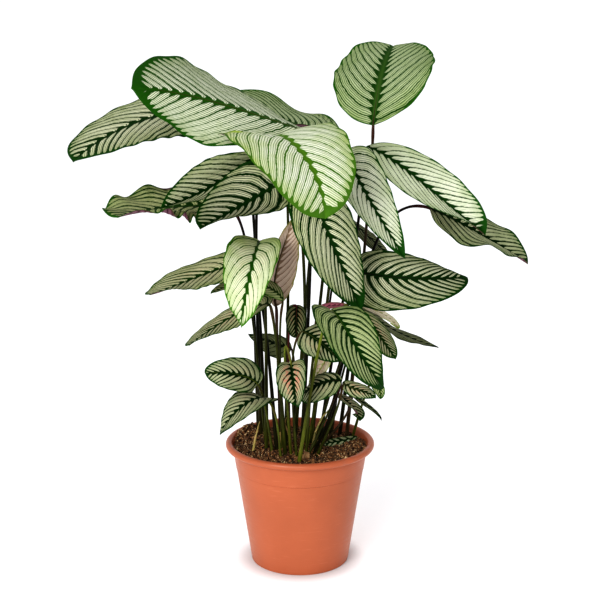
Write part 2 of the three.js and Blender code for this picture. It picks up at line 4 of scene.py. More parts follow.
import bpy
import numpy as np
from bpy.props import FloatProperty, FloatVectorProperty, IntProperty, PointerProperty
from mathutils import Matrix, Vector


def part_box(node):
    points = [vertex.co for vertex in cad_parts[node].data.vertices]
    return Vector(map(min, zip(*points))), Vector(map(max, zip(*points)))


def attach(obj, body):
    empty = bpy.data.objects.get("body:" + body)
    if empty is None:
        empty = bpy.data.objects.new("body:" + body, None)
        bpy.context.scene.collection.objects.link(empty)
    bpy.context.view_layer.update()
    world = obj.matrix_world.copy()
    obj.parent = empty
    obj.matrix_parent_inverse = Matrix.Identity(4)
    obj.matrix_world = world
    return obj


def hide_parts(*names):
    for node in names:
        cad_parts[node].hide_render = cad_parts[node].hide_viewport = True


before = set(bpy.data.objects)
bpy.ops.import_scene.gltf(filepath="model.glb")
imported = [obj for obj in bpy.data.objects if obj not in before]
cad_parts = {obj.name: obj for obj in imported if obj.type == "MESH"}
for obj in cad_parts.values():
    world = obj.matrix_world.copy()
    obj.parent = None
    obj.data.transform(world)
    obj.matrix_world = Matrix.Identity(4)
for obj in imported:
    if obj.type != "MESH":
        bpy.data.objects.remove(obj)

bl_info = {
    "name": "Potted calathea",
    "version": (1, 0, 0),
    "blender": (4, 5, 0),
    "location": "3D View > Sidebar > Calathea",
    "description": "Striped calathea leaves on their stalks in a plastic nursery pot of peat",
    "category": "Add Mesh",
}

MM = 0.001
# Millimetres: where the stalks stand in the soil, how far they go on below, and the half width
# from which a blade gets the finer grid and the thicker stalk
ROOT_PLANE, ROOT_DEPTH, LARGE_LEAF = 160.0, 20.0, 30
STALK_SIDES, STUB_SIDES, CHIP_SIDES = 12, 14, 20
# Blades turn their faces up and to the front
UP_FRONT = np.array([0.0, -1.0, 1.0]) / math.sqrt(2)

# Leaves in millimetres and degrees, each drawn by the same rule as its solid. veins is the number
# of side veins on each half, line the dark share of their pitch, band the half width of the dark
# band along the midrib, tip where the dark tip begins. stalk and look name finishes. Some leaves
# have a wave at the margin (its height, waves along the blade and a phase for each half), a blunter
# point, a deeper tone, a pink blush, an older base, a wider cap of green round the tip, a crisper
# band or another underside. The tone scales the whole blade's colour. It is partly the leaf's own
# colour and partly painted shade on blades that lie in the shade of others, such as leaf_left_front
# and leaf_right_middle, and painted light where it lifts a blade, as on leaf_right_upper.
COLUMNS = ("root", "knee", "spine", "half", "roll", "twist", "fold", "widest", "taper", "skew",
           "look", "stalk", "veins", "line", "band", "tip")


def leaf_row(*values, **more):
    """One leaf: the columns in their order, then by name what only some leaves have."""
    return dict(zip(COLUMNS, values, strict=True), **more)


LEAVES = {
    "leaf_top_left": leaf_row((-8, 15), (22, 0, 552), ((30, 18, 603), (-56, -12, 634),
        (-138, -37, 660), (-215, -79, 674)), 78, 11, 45, -17, 0.51, 1.45, 0.22, "fresh", "olive",
        17, 0.19, 4.4, 0.9, wave=5.5, waves=2, phases=(-1.6, 3.5), cap=7, tone=0.9, crisp=1.9),
    "leaf_top_back": leaf_row((5, 40), (52, 12, 571), ((36, 43, 602), (2, 110, 606),
        (-55, 134, 624), (-108, 98, 643)), 60, 32, 30, 4, 0.43, 0.85, 0.03, "sage", "olive", 20,
        0.24, 3.4, 0.93, wave=6.8, waves=3, phases=(1.3, 2)),
    "leaf_crown_front": leaf_row((6, 5), (11, -33, 588), ((-44, -62, 590), (-24, -106, 616),
        (11, -152, 588), (32, -163, 519)), 75, -17, -20, 6, 0.38, 0.78, 0.04, "bright", "olive", 14,
        0.15, 3.0, 0.93, cap=4.5, base=0.95, tone=0.85, crisp=3.2),
    "leaf_top_right": leaf_row((67, 40), (101, 36, 569), ((99, 21, 617), (108, 68, 661),
        (122, 128, 700), (135, 170, 717)), 71, -14, -7, 10, 0.46, 1.36, 0.09, "sage", "brown", 15,
        0.19, 6.4, 0.97, wave=3.9, waves=2, phases=(2.8, -2.9), tone=0.9, crisp=2.2),
    "leaf_upper_left": leaf_row((-50, 55), (-65, 42, 539), ((-77, 24, 625), (-162, 44, 633),
        (-242, 21, 612), (-301, -33, 574)), 65, 23, -17, 1, 0.45, 0.78, -0.05, "deep", "dark", 15,
        0.25, 3.2, 0.95, point=0.04, tone=0.86),
    "leaf_left_wavy": leaf_row((-60, 47), (-67, 50, 475), ((-97, 64, 496), (-164, 73, 497),
        (-216, 32, 497), (-243, -30, 500)), 59, 28, -39, 9, 0.52, 1.17, -0.02, "moss", "dark", 13,
        0.27, 3.0, 0.95, point=0.04, wave=6.5, waves=5, phases=(-1, 3.7)),
    "leaf_left_rear": leaf_row((-56, 39), (-65, 28, 527), ((-51, 5, 582), (-95, 20, 549),
        (-141, 5, 524), (-188, -24, 510)), 43, -18, -42, 49, 0.42, 1.25, 0, "deep", "dark", 13,
        0.25, 3.0, 0.94, tone=0.94),
    "leaf_left_front": leaf_row((-20, -7), (-14, 14, 504), ((-19, -13, 547), (-61, -27, 524),
        (-98, -52, 506), (-130, -89, 494)), 49, 8, -45, 24, 0.3, 0.8, -0.02, "deep", "olive", 12,
        0.31, 3.4, 0.93, tone=0.72),
    "leaf_mid_left": leaf_row((-32, -27), (-51, -4, 415), ((-73, -1, 432), (-122, 11, 416),
        (-168, -12, 402), (-201, -55, 399)), 43, 32, -28, 4, 0.46, 1.16, -0.05, "tawny", "dark", 13,
        0.24, 2.4, 0.96, wave=2, waves=2, phases=(0, 2.4), blush=0.12),
    "leaf_mid_pale": leaf_row((-47, -17), (-46, -22, 472), ((-54, -23, 466), (-61, -82, 451),
        (-70, -117, 412), (-78, -90, 362)), 38, 5, -17, 21, 0.33, 1.43, 0.02, "limed", "olive", 10,
        0.12, 2.4, 0.97, blush=0.1, crisp=3.2, base=0.8, tone=0.9),
    "leaf_mid_drooping": leaf_row((-26, -16), (-32, -28, 343), ((-32, -23, 375), (-33, -15, 416),
        (-22, -15, 456), (-10, -13, 495)), 32, 137, -6, 17, 0.39, 1.2, -0.01, "deep", "brown", 13,
        0.2, 3, 0.95, under="mauve"),
    "leaf_mid_small": leaf_row((-24, -31), (-30, -42, 370), ((-22, -47, 388), (-30, -51, 400),
        (-42, -52, 408), (-56, -52, 414)), 12, -1, 1, -18, 0.58, 1.22, 0.1, "moss", "olive", 8,
        0.22, 1.6, 0.95),
    "leaf_mid_peeking": leaf_row((-48, 7), (-67, 13, 375), ((-76, 13, 404), (-92, 9, 399),
        (-108, 7, 393), (-124, 5, 387)), 13, 32, 0, 14, 0.42, 1.2, 0, "moss", "olive", 9, 0.2, 1.6,
        0.95),
    "leaf_low_mid_left": leaf_row((-20, -43), (-32, -50, 355), ((-40, -65, 388), (-80, -37, 370),
        (-121, -53, 349), (-146, -100, 341)), 32, 37, -24, -1, 0.44, 1.14, -0.08, "tawny", "olive",
        12, 0.28, 2.4, 0.95, blush=0.25, tone=0.9),
    "leaf_behind_stems": leaf_row((-8, 43), (-6, 55, 270), ((-12, 59, 294), (-33, 68, 298),
        (-54, 75, 304), (-76, 79, 309)), 20, -64, 45, 20, 0.36, 1.32, -0.07, "shaded", "dark", 10,
        0.22, 2, 0.95, under="grey"),
    "leaf_inner_dark": leaf_row((-14, -27), (-19, -19, 386), ((-4, -14, 375), (-5, -25, 364),
        (-5, -34, 348), (-5, -31, 332)), 14, 0, 3, 5, 0.44, 1.01, 0.04, "shaded", "red", 9, 0.34,
        2.4, 0.95, blush=0.3),
    "leaf_lower_shaded": leaf_row((-4, -54), (-17, -31, 329), ((4, -50, 347), (19, -66, 342),
        (36, -74, 330), (55, -70, 310)), 26, 10, -10, -10, 0.34, 1, -0.05, "dusky", "olive", 10,
        0.28, 3.4, 0.93, blush=0.2, tone=0.85),
    "leaf_lower_front": leaf_row((-3, -82), (29, -87, 371), ((40, -95, 388), (57, -138, 375),
        (80, -163, 340), (109, -143, 295)), 39, -12, -3, 18, 0.34, 1.18, 0.11, "lush", "lime", 14,
        0.28, 2.6, 0.86, tone=0.86, cap=5),
    "leaf_lower_rolled": leaf_row((8, -40), (21, -38, 367), ((24, -34, 373), (38, -31, 377),
        (52, -30, 378), (65, -29, 379)), 8, -26, 0, 4, 0.42, 1.2, 0, "rose", "olive", 6, 0.1, 1,
        0.98, under="rose"),
    "leaf_lower_right": leaf_row((17, -13), (65, -26, 338), ((84, -42, 374), (98, -55, 355),
        (113, -66, 335), (128, -79, 316)), 21, -24, -16, -4, 0.44, 1.22, 0.01, "tawny", "olive", 12,
        0.3, 2.4, 0.95, blush=0.4, tone=0.85),
    "leaf_lower_edgewise": leaf_row((30, 3), (72, -3, 343), ((83, -14, 372), (113, -22, 350),
        (152, -9, 327), (192, -15, 315)), 20, -42, 0, 0, 0.43, 1.2, 0, "shaded", "dark", 13, 0.2, 2,
        0.95, wave=1.7, waves=2, phases=(-1.8, 4.3), under="grey"),
    "leaf_lower_pale": leaf_row((34, 23), (78, 13, 339), ((87, 35, 362), (106, 18, 359),
        (125, 28, 346), (137, 14, 333)), 18, -41, 3, 1, 0.42, 1.22, 0.01, "cream", "olive", 9, 0.1,
        1.2, 0.93, under="cream", tone=1.1),
    "leaf_right_middle": leaf_row((28, 33), (57, 20, 376), ((72, 30, 414), (115, -22, 417),
        (173, -38, 417), (229, -12, 414)), 42, 15, 45, -3, 0.34, 0.95, 0.14, "deep", "dark", 14,
        0.3, 3.0, 0.93, tone=0.7),
    "leaf_centre_large": leaf_row((2, -20), (19, -21, 505), ((12, -51, 544), (33, -80, 496),
        (56, -71, 438), (83, -65, 379)), 45, -15, 31, 13, 0.38, 1.08, 0.14, "deep", "dark", 15,
        0.24, 2.8, 0.86, cap=4, tone=0.9),
    "leaf_right_hanging": leaf_row((14, 7), (54, -2, 525), ((62, -5, 586), (81, -30, 544),
        (108, -59, 499), (138, -81, 452)), 42, 14, -5, 43, 0.32, 1.26, -0.04, "silver", "olive", 15,
        0.17, 2.4, 0.87, cap=5, tone=1.0),
    "leaf_right_upper": leaf_row((42, 15), (85, 1, 531), ((89, -21, 593), (142, 13, 559),
        (200, 17, 511), (250, -25, 474)), 46, 15, 43, 49, 0.48, 0.92, 0.18, "silver", "dark", 16,
        0.17, 3.4, 0.9, cap=4, tone=1.12),
    "leaf_right_far": leaf_row((57, 51), (98, 48, 524), ((178, 18, 504), (224, 37, 479),
        (272, 41, 451), (318, 27, 424)), 42, -18, 45, 22, 0.43, 0.78, 0.22, "dusky", "dark", 14,
        0.24, 2.6, 0.95, wave=6.3, waves=2, phases=(0.5, 4.2)),
    "leaf_right_shaded": leaf_row((16, 29), (54, 77, 448), ((62, 91, 487), (84, 71, 466),
        (111, 69, 442), (133, 93, 419)), 23, -36, -17, -4, 0.42, 1.21, -0.02, "shaded", "dark", 12,
        0.3, 2.6, 0.95),
    "leaf_low_left": leaf_row((-37, -39), (-50, -31, 255), ((-57, -58, 274), (-73, -68, 288),
        (-100, -80, 297), (-128, -69, 292)), 24, -24, 45, 15, 0.43, 1.14, 0, "dusky", "lime", 11,
        0.25, 2.4, 0.95, wave=1.4, waves=3, phases=(0.5, 2.2), blush=0.12, tone=0.87),
    "leaf_lowest_left": leaf_row((-26, -55), (-31, -53, 231), ((-41, -43, 244), (-61, -76, 259),
        (-87, -94, 245), (-108, -91, 214)), 28, 26, -4, 10, 0.41, 1.2, -0.07, "dusky", "lime", 11,
        0.25, 2.4, 0.94, blush=0.12, tone=0.84),
    "leaf_low_pink": leaf_row((-12, -43), (-26, -80, 381), ((-12, -79, 310), (-10, -97, 298),
        (-7, -106, 279), (-5, -101, 257)), 24, 22, -43, 30, 0.37, 1.05, -0.05, "dusky", "lime", 10,
        0.26, 2.8, 0.9, blush=1.0, tone=0.88),
    "leaf_low_right_front": leaf_row((16, -36), (49, -58, 248), ((56, -76, 285), (33, -76, 283),
        (13, -68, 271), (1, -42, 252)), 23, 4, 0, -13, 0.41, 1.17, -0.08, "dusky", "dark", 10, 0.28,
        3.4, 0.93, blush=0.15, tone=0.9),
    "leaf_low_right": leaf_row((20, -45), (55, -71, 249), ((58, -67, 280), (73, -66, 271),
        (88, -72, 268), (102, -80, 262)), 12, 1, 10, -14, 0.42, 1.13, 0, "dusky", "olive", 8, 0.28,
        1.8, 0.92, blush=0.45),
    "leaf_low_torn": leaf_row((4, -62), (41, -38, 229), ((51, -9, 248), (63, -49, 248),
        (74, -45, 235), (82, -59, 223)), 18, -34, -12, 15, 0.45, 1.13, -0.03, "dusky", "olive", 9,
        0.3, 2, 0.93, blush=0.5),
    "leaf_low_narrow": leaf_row((14, -28), (74, -39, 228), ((72, -25, 254), (81, -47, 249),
        (98, -45, 236), (112, -53, 222)), 7, -42, 0, 1, 0.42, 1.2, 0, "shaded", "brown", 7, 0.4,
        1.4, 0.9, under="grey"),
    "leaf_low_curled": leaf_row((74, 36), (94, -33, 271), ((100, -46, 277), (105, -54, 271),
        (109, -56, 263), (109, -57, 253)), 8, 17, 2, 10, 0.43, 1.17, 0.01, "moss", "lime", 6, 0.25,
        1.3, 0.95),
    "leaf_low_translucent": leaf_row((8, -16), (42, -33, 344), ((43, -48, 323), (34, -39, 301),
        (24, -30, 281), (12, -25, 262)), 18, 26, -24, 11, 0.42, 1.16, 0.07, "cream", "lime", 9, 0.1,
        1, 0.97, under="cream", blush=0.5),
}

# Young cream tissue, older pale green, vein green, margin, midrib nerve, strength of the hairlines
BLADE_LOOKS = {
    "bright": ("#eef1dc", "#b4c962", "#4a7420", "#558028", "#699626", 0.66),
    "fresh": ("#e8ecd4", "#adbc82", "#24500e", "#265a10", "#3a7318", 0.88),
    "limed": ("#eaf0ce", "#b0c778", "#2f5d14", "#4f8424", "#275812", 0.4),
    "sage": ("#c3cfa6", "#92a866", "#20480e", "#2f6414", "#4c6e2c", 0.81),
    "deep": ("#eaedca", "#a6b672", "#14380b", "#1d4c12", "#1d4610", 0.85),
    "silver": ("#f0f3de", "#abbb85", "#1b4114", "#235219", "#1f4a16", 0.58),
    "lush": ("#c9d4a0", "#8ba05e", "#12370b", "#235018", "#245012", 0.78),
    "moss": ("#cdd59e", "#869d54", "#1d420e", "#2d6112", "#2f5818", 0.73),
    "tawny": ("#d9ddb2", "#9caa66", "#1d400c", "#2d5a13", "#22480f", 0.73),
    "dusky": ("#c8cea6", "#8b9a68", "#0f2b09", "#1d4714", "#13350d", 0.76),
    # Painted shade: a darkened palette for leaves that lie in the shade of others
    "shaded": ("#8d946c", "#626d48", "#11230a", "#1a3411", "#162d0e", 0.61),
    "cream": ("#f4ecd6", "#dfe0aa", "#a9ad6c", "#8fa83f", "#b9bc74", 0.37),
    "rose": ("#b9727f", "#8d5763", "#5e3340", "#7a7a3c", "#8d5a60", 0.37),
}
UNDER_LOOKS = {
    "purple": ("#8d6570", "#79505e", "#512a3c", "#5c453e", "#8a774f", 0.35),
    "mauve": ("#d6c6b4", "#b9a68c", "#8c7662", "#8f8c4c", "#5e6420", 0.4),
    "grey": ("#8a9078", "#757b64", "#5a604c", "#555d40", "#6c7250", 0.3),
    "cream": ("#efe2d0", "#dccfb0", "#c2b98e", "#a8b85c", "#c7c48f", 0.3),
    "rose": ("#c0808c", "#97606e", "#6a3c48", "#6f6a34", "#8d5a60", 0.3),
}
FALLEN_LOOK = ("#c3c9a4", "#8a9a6c", "#1f3d1c", "#2f4f2a", "#2c4420", 0.5)
# Colour at the soil, half way up and under the blade
STALK_LOOKS = {
    "dark": ("#3d3a18", "#181a0a", "#17120c"),
    "olive": ("#565b1c", "#383c16", "#454c1e"),
    "lime": ("#6a6f22", "#4e5420", "#7a8830"),
    "brown": ("#54452a", "#3c2f1a", "#443a28"),
    "red": ("#5c4a26", "#4a2e22", "#6e2c30"),
}
# Dry stalks: points from the soil up with a radius at each, and the colour
DRY_STALKS = {
    "dry_stub_left": (
        ((-67, -31, 160), (-62, -28, 188), (-56, -24, 211)), (2.2, 1.7, 0.6), "#a39a52"),
    "dry_stub_node": (
        ((-26, -24, 160), (-27, -24, 186), (-28, -24, 191), (-24, -24, 197), (-19, -24, 216)),
        (2, 1.6, 2.8, 1.8, 0.6), "#a8824e"),
    "dry_sheath": (
        ((-9, -33, 160), (-14, -35, 190), (-21, -36, 212)), (2, 1.8, 0.6), "#80583e"),
    "young_shoot": (
        ((14, -24, 160), (21, -25, 195), (31, -24, 217), (44, -22, 231)),
        (1.6, 1.5, 1.4, 0.5), "#66763a"),
}
FALLEN_LEAF = dict(
    spine=((82, 29, 170.5), (65, 14, 170.5), (47, 2, 171), (32, -6, 171.5)),
    half=7, roll=-35, twist=0, fold=32, widest=0.6, taper=1.1, skew=0,
    veins=6, line=0.4, band=1.0, tip=0.97,
)
FALLEN_LEAF_SIZES = dict(thickness=0.7, pleat=0.3, furrow=0.5, margin=0.6)
# Bark: three points along the middle with a half width at each, how many times as broad as it is
# thick, the two colours of its fibres
BARK = {
    "bark_chip": (((9, -68, 165), (8, -68, 173), (10, -67, 181)), (4.5, 6, 3.5), 2.0,
                  "#80603f", "#b8966a"),
    "bark_flake": (((15, -6, 168.5), (21, -6, 169), (26, -7, 168.5)), (2, 2.4, 1.8), 1.6,
                   "#8a5636", "#c08a5c"),
}


def linear(hex_colour):
    """Turn an sRGB hex colour into linear RGBA."""
    srgb = np.array([int(hex_colour[i:i + 2], 16) for i in (1, 3, 5)]) / 255
    value = np.where(srgb <= 0.04045, srgb / 12.92, ((srgb + 0.055) / 1.055) ** 2.4)
    return (*(float(v) for v in value), 1.0)


def wire(node, inputs):
    """Set a node's inputs, by name or in their order, to values or to other nodes' outputs."""
    for socket, value in inputs.items() if isinstance(inputs, dict) else enumerate(inputs):
        if isinstance(value, bpy.types.NodeSocket):
            node.id_data.links.new(value, node.inputs[socket])
        else:
            node.inputs[socket].default_value = value


def add_node(tree, kind, inputs=(), output=None, **settings):
    """Add one node with its settings and inputs, and return the output named, or its first in use.

    A colour mix takes its share at input 0 and its two colours at 6 and 7. A range takes the value,
    then from where to where it is read, then from where to where it is put.
    """
    node = tree.nodes.new("ShaderNode" + kind)
    for name, value in settings.items():
        setattr(node, name, value)
    wire(node, inputs)
    return node.outputs[output] if output else next(o for o in node.outputs if o.enabled)


def new_material(name):
    """A material, its shader, a function that adds a node to it, and the place on the object."""
    material = bpy.data.materials.new(name)
    material.use_nodes = True
    tree = material.node_tree
    node = functools.partial(add_node, tree)
    return material, tree.nodes["Principled BSDF"], node, node("TexCoord", (), "Object")


def unit(vectors):
    """Vectors divided by their length."""
    return vectors / np.linalg.norm(vectors, axis=-1, keepdims=True)


def full_turn(count):
    """Evenly spaced angles all round."""
    return 2 * np.pi * np.arange(count) / count


def polar(radius, phi):
    """x and y at a radius from the pot's axis, the angle counted from the front to the right."""
    return radius * np.sin(phi), -radius * np.cos(phi)


def turned(radius, phi, height):
    """Points at each radius, angle and height round the pot's axis."""
    return np.stack(np.broadcast_arrays(*polar(radius, phi), height), axis=-1)


def marks_along(path):
    """Length run along a path at each of its points."""
    return np.concatenate([[0], np.cumsum(np.linalg.norm(np.diff(path, axis=0), axis=1))])


def resampled(path, marks, places):
    """Points at new places along a path whose own points lie at the marks."""
    return np.stack([np.interp(places, marks, path[:, j]) for j in range(3)], axis=1)


def spine_points(spine, u):
    """Point and unit direction of the cubic through the four midrib points at its thirds."""
    knots = np.array([0, 1 / 3, 2 / 3, 1])
    point = np.zeros(u.shape + (3,))
    along = np.zeros(u.shape + (3,))
    for i, p in enumerate(np.array(spine, float)):
        others = np.delete(knots, i)
        a, b, c = (u - k for k in others)
        scale = np.prod(knots[i] - others)
        point += (a * b * c / scale)[..., None] * p
        along += ((a * b + b * c + a * c) / scale)[..., None] * p
    return point, unit(along)


def blade_frame(leaf, u):
    """Midrib point, and directions across and out of the blade, turned by roll and twist."""
    spine = np.array(leaf["spine"], float)
    chord = unit(spine[3] - spine[0])
    face = unit(UP_FRONT - chord * UP_FRONT.dot(chord))
    roll = math.radians(leaf["roll"])
    face = face * math.cos(roll) + np.cross(chord, face) * math.sin(roll)
    point, along = spine_points(spine, u)
    side = unit(np.cross(along, face))
    normal = np.cross(side, along)
    turn = (math.radians(leaf["twist"]) * (u - 0.5))[..., None]
    across = side * np.cos(turn) + normal * np.sin(turn)
    out = normal * np.cos(turn) - side * np.sin(turn)
    return point, across, out


def half_width(leaf, u):
    """Rising and falling powers of u that meet at the widest place, cut to a point at the tip."""
    widest, taper, narrowest = leaf["widest"], leaf["taper"], 0.25
    rise = (u / widest) ** (taper * widest)
    fall = ((1 - u) / (1 - widest)) ** (taper * (1 - widest))
    pointed = 1 - np.exp((u - 1) / leaf.get("point", 0.02))
    return np.maximum(leaf["half"] * rise * fall * pointed, narrowest)


def stalk_points(leaf, t):
    """Cubic curve from the root, up towards the knee and over into the base of the blade."""
    root = np.array([*leaf["root"], ROOT_PLANE], float)
    knee = np.array(leaf["knee"], float)
    base = np.array(leaf["spine"][0], float)
    lower = root + 0.6 * (knee - root)
    t = t[:, None]
    return (
        root * (1 - t) ** 3 + 3 * lower * t * (1 - t) ** 2
        + 3 * knee * t ** 2 * (1 - t) + base * t ** 3
    )


def add_piece(name, points, faces, materials, slots=None, attributes=None, smooth=True):
    """Put points in millimetres and their faces into a mesh object that stands at the origin."""
    mesh = bpy.data.meshes.new(name)
    mesh.from_pydata(points * MM, [], faces)
    for material in materials:
        mesh.materials.append(material)
    if slots is not None:
        mesh.polygons.foreach_set("material_index", slots.astype(np.int32))
    for key, values in (attributes or {}).items():
        layer = mesh.attributes.new(key, "FLOAT", "POINT")
        layer.data.foreach_set("value", values.astype(np.float32))
    mesh.polygons.foreach_set("use_smooth", np.full(len(mesh.polygons), smooth))
    mesh.update()
    piece = bpy.data.objects.new(name, mesh)
    bpy.context.scene.collection.objects.link(piece)
    return piece


def grid_faces(rows, columns):
    """Quads between neighbouring rows of closed rings, the last column joined to the first."""
    i = np.arange(rows - 1)[:, None]
    k = np.arange(columns)[None, :]
    a = i * columns + k
    b = i * columns + (k + 1) % columns
    return np.stack([a, b, b + columns, a + columns], axis=-1).reshape(-1, 4)


def closed_faces(points, rows, columns):
    """Quads of a tube of rings and a strip of quads over each end, all facing outwards.

    The volume summed from the origin over all faces is negative where they face inwards, and then
    each is turned round.
    """
    half = np.arange(columns // 2 - 1)
    low = np.stack([half, half + 1, columns - 2 - half, columns - 1 - half], axis=-1)
    faces = np.concatenate([
        grid_faces(rows, columns), low[:, ::-1], low + (rows - 1) * columns])
    first, second, third, fourth = (points[faces[:, j]] for j in range(4))
    volume = np.einsum("ij,ij->", first, np.cross(second, third) + np.cross(third, fourth))
    return faces if volume > 0 else faces[:, ::-1]


def tube(path, radii, sides, start=0):
    """Rings of points round a path, each end drawn in to a fiftieth of its ring and closed.

    Each ring lies across the path's direction at its point, measured from one fixed direction that
    is nowhere close to the path's own.
    """
    along = unit(np.gradient(path, axis=0))
    candidates = unit(np.array([
        [1, 0, 0], [0, 1, 0], [1, 1, 0], [1, -1, 0], [1, 0, 1], [0, 1, 1], [1, 0, -1], [0, 1, -1],
    ], float))
    fixed = candidates[np.abs(along @ candidates.T).max(axis=0).argmin()]
    side = unit(fixed - along * (along @ fixed)[:, None])
    up = np.cross(along, side)
    angle = full_turn(sides)[:, None]
    ring = side[:, None] * np.cos(angle) + up[:, None] * np.sin(angle)
    rings = path[:, None] + ring * radii[:, None, None]
    ends = rings[[0, -1]] * 0.02 + path[[0, -1]][:, None] * 0.98
    points = np.concatenate([ends[:1], rings, ends[1:]]).reshape(-1, 3)
    return points, closed_faces(points, len(path) + 2, sides) + start


def per_ring(values, sides):
    """What belongs to each ring of a tube, given to all points of the ring and of the two ends."""
    return np.repeat(np.concatenate([values[:1], values, values[-1:]]), sides, axis=0)


def vein_grid(leaf, rows, half_columns):
    """Rows that follow the side veins: where each leaves the midrib and how far it has run.

    A vein that starts at s reaches the place u on the midrib's length where
    (1 - q) u + q (m u + (1 - m) u to the power of the sweep) = s, with q growing from 0 at the
    midrib to 1 at the margin, so veins run to the tip. Newton steps from u = 1 solve it for the
    whole grid, held at 0 or more, where the power has a value.
    """
    sweep, newton_steps = 3.8, 16
    s = np.linspace(0, 1, rows) ** 1.35
    even = np.linspace(0, 1, half_columns + 1)
    v = 0.35 * np.sin(0.5 * np.pi * even) ** 0.9 + 0.65 * even
    v = np.concatenate([-v[:0:-1], v])
    length = np.linalg.norm(np.subtract(leaf["spine"][3], leaf["spine"][0]))
    ahead = max(0.12, 1 - 3.6 * leaf["half"] / length)
    q = 0.8 * np.abs(v) + 0.2 * np.abs(v) ** 3
    s, q = np.meshgrid(s, q, indexing="ij")
    curved, straight = q * (1 - ahead), 1 - q + q * ahead
    u = np.ones_like(s)
    for _ in range(newton_steps):
        miss = curved * u ** sweep + straight * u - s
        u = np.maximum(u - miss / (sweep * curved * u ** (sweep - 1) + straight), 0)
    return s, np.clip(u, 0, 1), np.broadcast_to(v, s.shape)


def blade(leaf, sizes, rng):
    """The blade as a closed sheet, with the numbers its colours follow.

    Across, each half rises by its fold, is rounded over the midrib and arches a little, and waves
    as its solid does. On top come a shallow pleat between side veins, a furrow along the midrib and
    a fine ruffle at the margin. Face and back lie half the sheet's thickness to each side of that.
    """
    half = leaf["half"]
    rows, half_columns = (200, 17) if half >= LARGE_LEAF else (120, 12)
    s, u, v = vein_grid(leaf, rows, half_columns)
    width = half_width(leaf, u)
    centre, across, out = blade_frame(leaf, u)
    fold = math.radians(leaf["fold"])
    off, right = np.abs(v), v > 0
    mid = off * width
    ends = np.sqrt(np.sin(np.pi * np.clip(u, 0.001, 0.999)))
    vein = s * leaf["veins"] + np.where(right, 0.45, 0.0)

    def wave(turns, phases):
        return np.sin(2 * np.pi * turns * u + np.where(right, *phases))

    ruffle_turns = rng.uniform(4.5, 7.5, 2)
    ruffle_phase = rng.uniform(0, 2 * np.pi, 4)
    rise = width * (np.sqrt(off ** 2 + 0.003) - 0.03) * math.sin(fold)
    rise += 0.035 * width * np.sin(np.pi * off)
    if "wave" in leaf:
        rise += leaf["wave"] * ends * wave(leaf["waves"], leaf["phases"]) * v * v
    rise += 0.014 * half * ends * wave(ruffle_turns[0], ruffle_phase[:2]) * off ** 5
    inside = np.clip(np.sin(np.pi * off), 0, 1) ** 0.7 * np.clip(ends * 1.2, 0, 1)
    rise -= sizes["pleat"] * min(1.0, half / 40) * np.cos(2 * np.pi * vein) * inside
    rise -= sizes["furrow"] * np.exp(-(mid / (0.035 * half + 0.6)) ** 2)
    outline = 1 + 0.012 * wave(ruffle_turns[1], ruffle_phase[2:])
    skewed = 1 + leaf["skew"] * v
    shift = width * outline * skewed * v * math.cos(fold)
    thick = sizes["thickness"] / 2 * (1 - 0.5 * off ** 6) / math.cos(fold)
    middle = centre + across * shift[..., None] + out * rise[..., None]
    depth = out * thick[..., None]
    points = np.concatenate([middle + depth, (middle - depth)[:, ::-1]], axis=1).reshape(-1, 3)
    columns = v.shape[1]
    faces = closed_faces(points, rows, 2 * columns)
    # The face takes slot 0 and the back slot 1
    per_row = np.repeat([0, 1, 0], [columns, columns - 1, 1])
    slots = np.concatenate([np.tile(per_row, rows - 1), np.zeros(2 * (columns - 1))])

    band = leaf["band"] * (0.5 + 0.5 * np.sin(np.pi * np.clip(u * 1.1, 0, 1)) ** 0.8)
    edge = (1 - off) * width * skewed
    to_tip = np.clip((u - 0.55) / 0.45, 0, 1)
    margin = sizes["margin"] * (0.5 + half / 60) * (1 + leaf.get("cap", 3) * to_tip ** 2)
    strength = rng.uniform(0.6, 1.35, (2, leaf["veins"] + 3))
    nearest = np.rint(vein).astype(int)
    # The dark share grows towards the tip and the midrib, in the band, at the margin and the tip
    dark = leaf["line"] * np.where(right, *strength[:, nearest]) * (0.85 + 0.4 * u ** 3)
    dark += 0.3 * leaf["line"] * np.exp(-off / 0.22)
    dark += (1.25 - dark) * np.exp(-0.9 * (mid / band) ** leaf.get("crisp", 1.5))
    dark += 1.3 * np.exp(-1.3 * (np.maximum(edge, 0) / margin) ** 1.7)
    tip_end = np.clip((u - leaf["tip"]) / (1.001 - leaf["tip"]), 0, 1)
    dark += 1.3 * tip_end ** 0.8
    # The ground is older towards the margin, at the base and near the tip
    ground = 0.06 + 0.62 * off ** 2.8 + 0.25 * np.clip((u - 0.75) / 0.25, 0, 1)
    ground += leaf.get("base", 0.35) * np.clip(1.15 - u / 0.35, 0, 1) ** 1.5
    shares = {
        # Each leaf's tone, partly painted shade and painted light, a little darker towards the
        # margin and the tip
        "tone": leaf.get("tone", 1.0) * (1 - 0.12 * off * u),
        "vein": vein,
        "dark": dark,
        "ground": ground,
        "blush": leaf.get("blush", 0) * np.exp(
            -((off - 0.34) / 0.26) ** 2 - ((u - 0.42) / 0.3) ** 2),
        "rim": np.clip(np.clip(1.4 - edge / (2.2 * margin), 0, 1) + 0.6 * tip_end, 0, 1),
        "nerve": np.exp(-(mid / (0.012 * half + 0.35)) ** 2) * np.clip(1.15 - u, 0, 1),
    }
    return points, faces, slots, {
        key: np.concatenate([share, share[:, ::-1]], axis=1).ravel()
        for key, share in shares.items()}


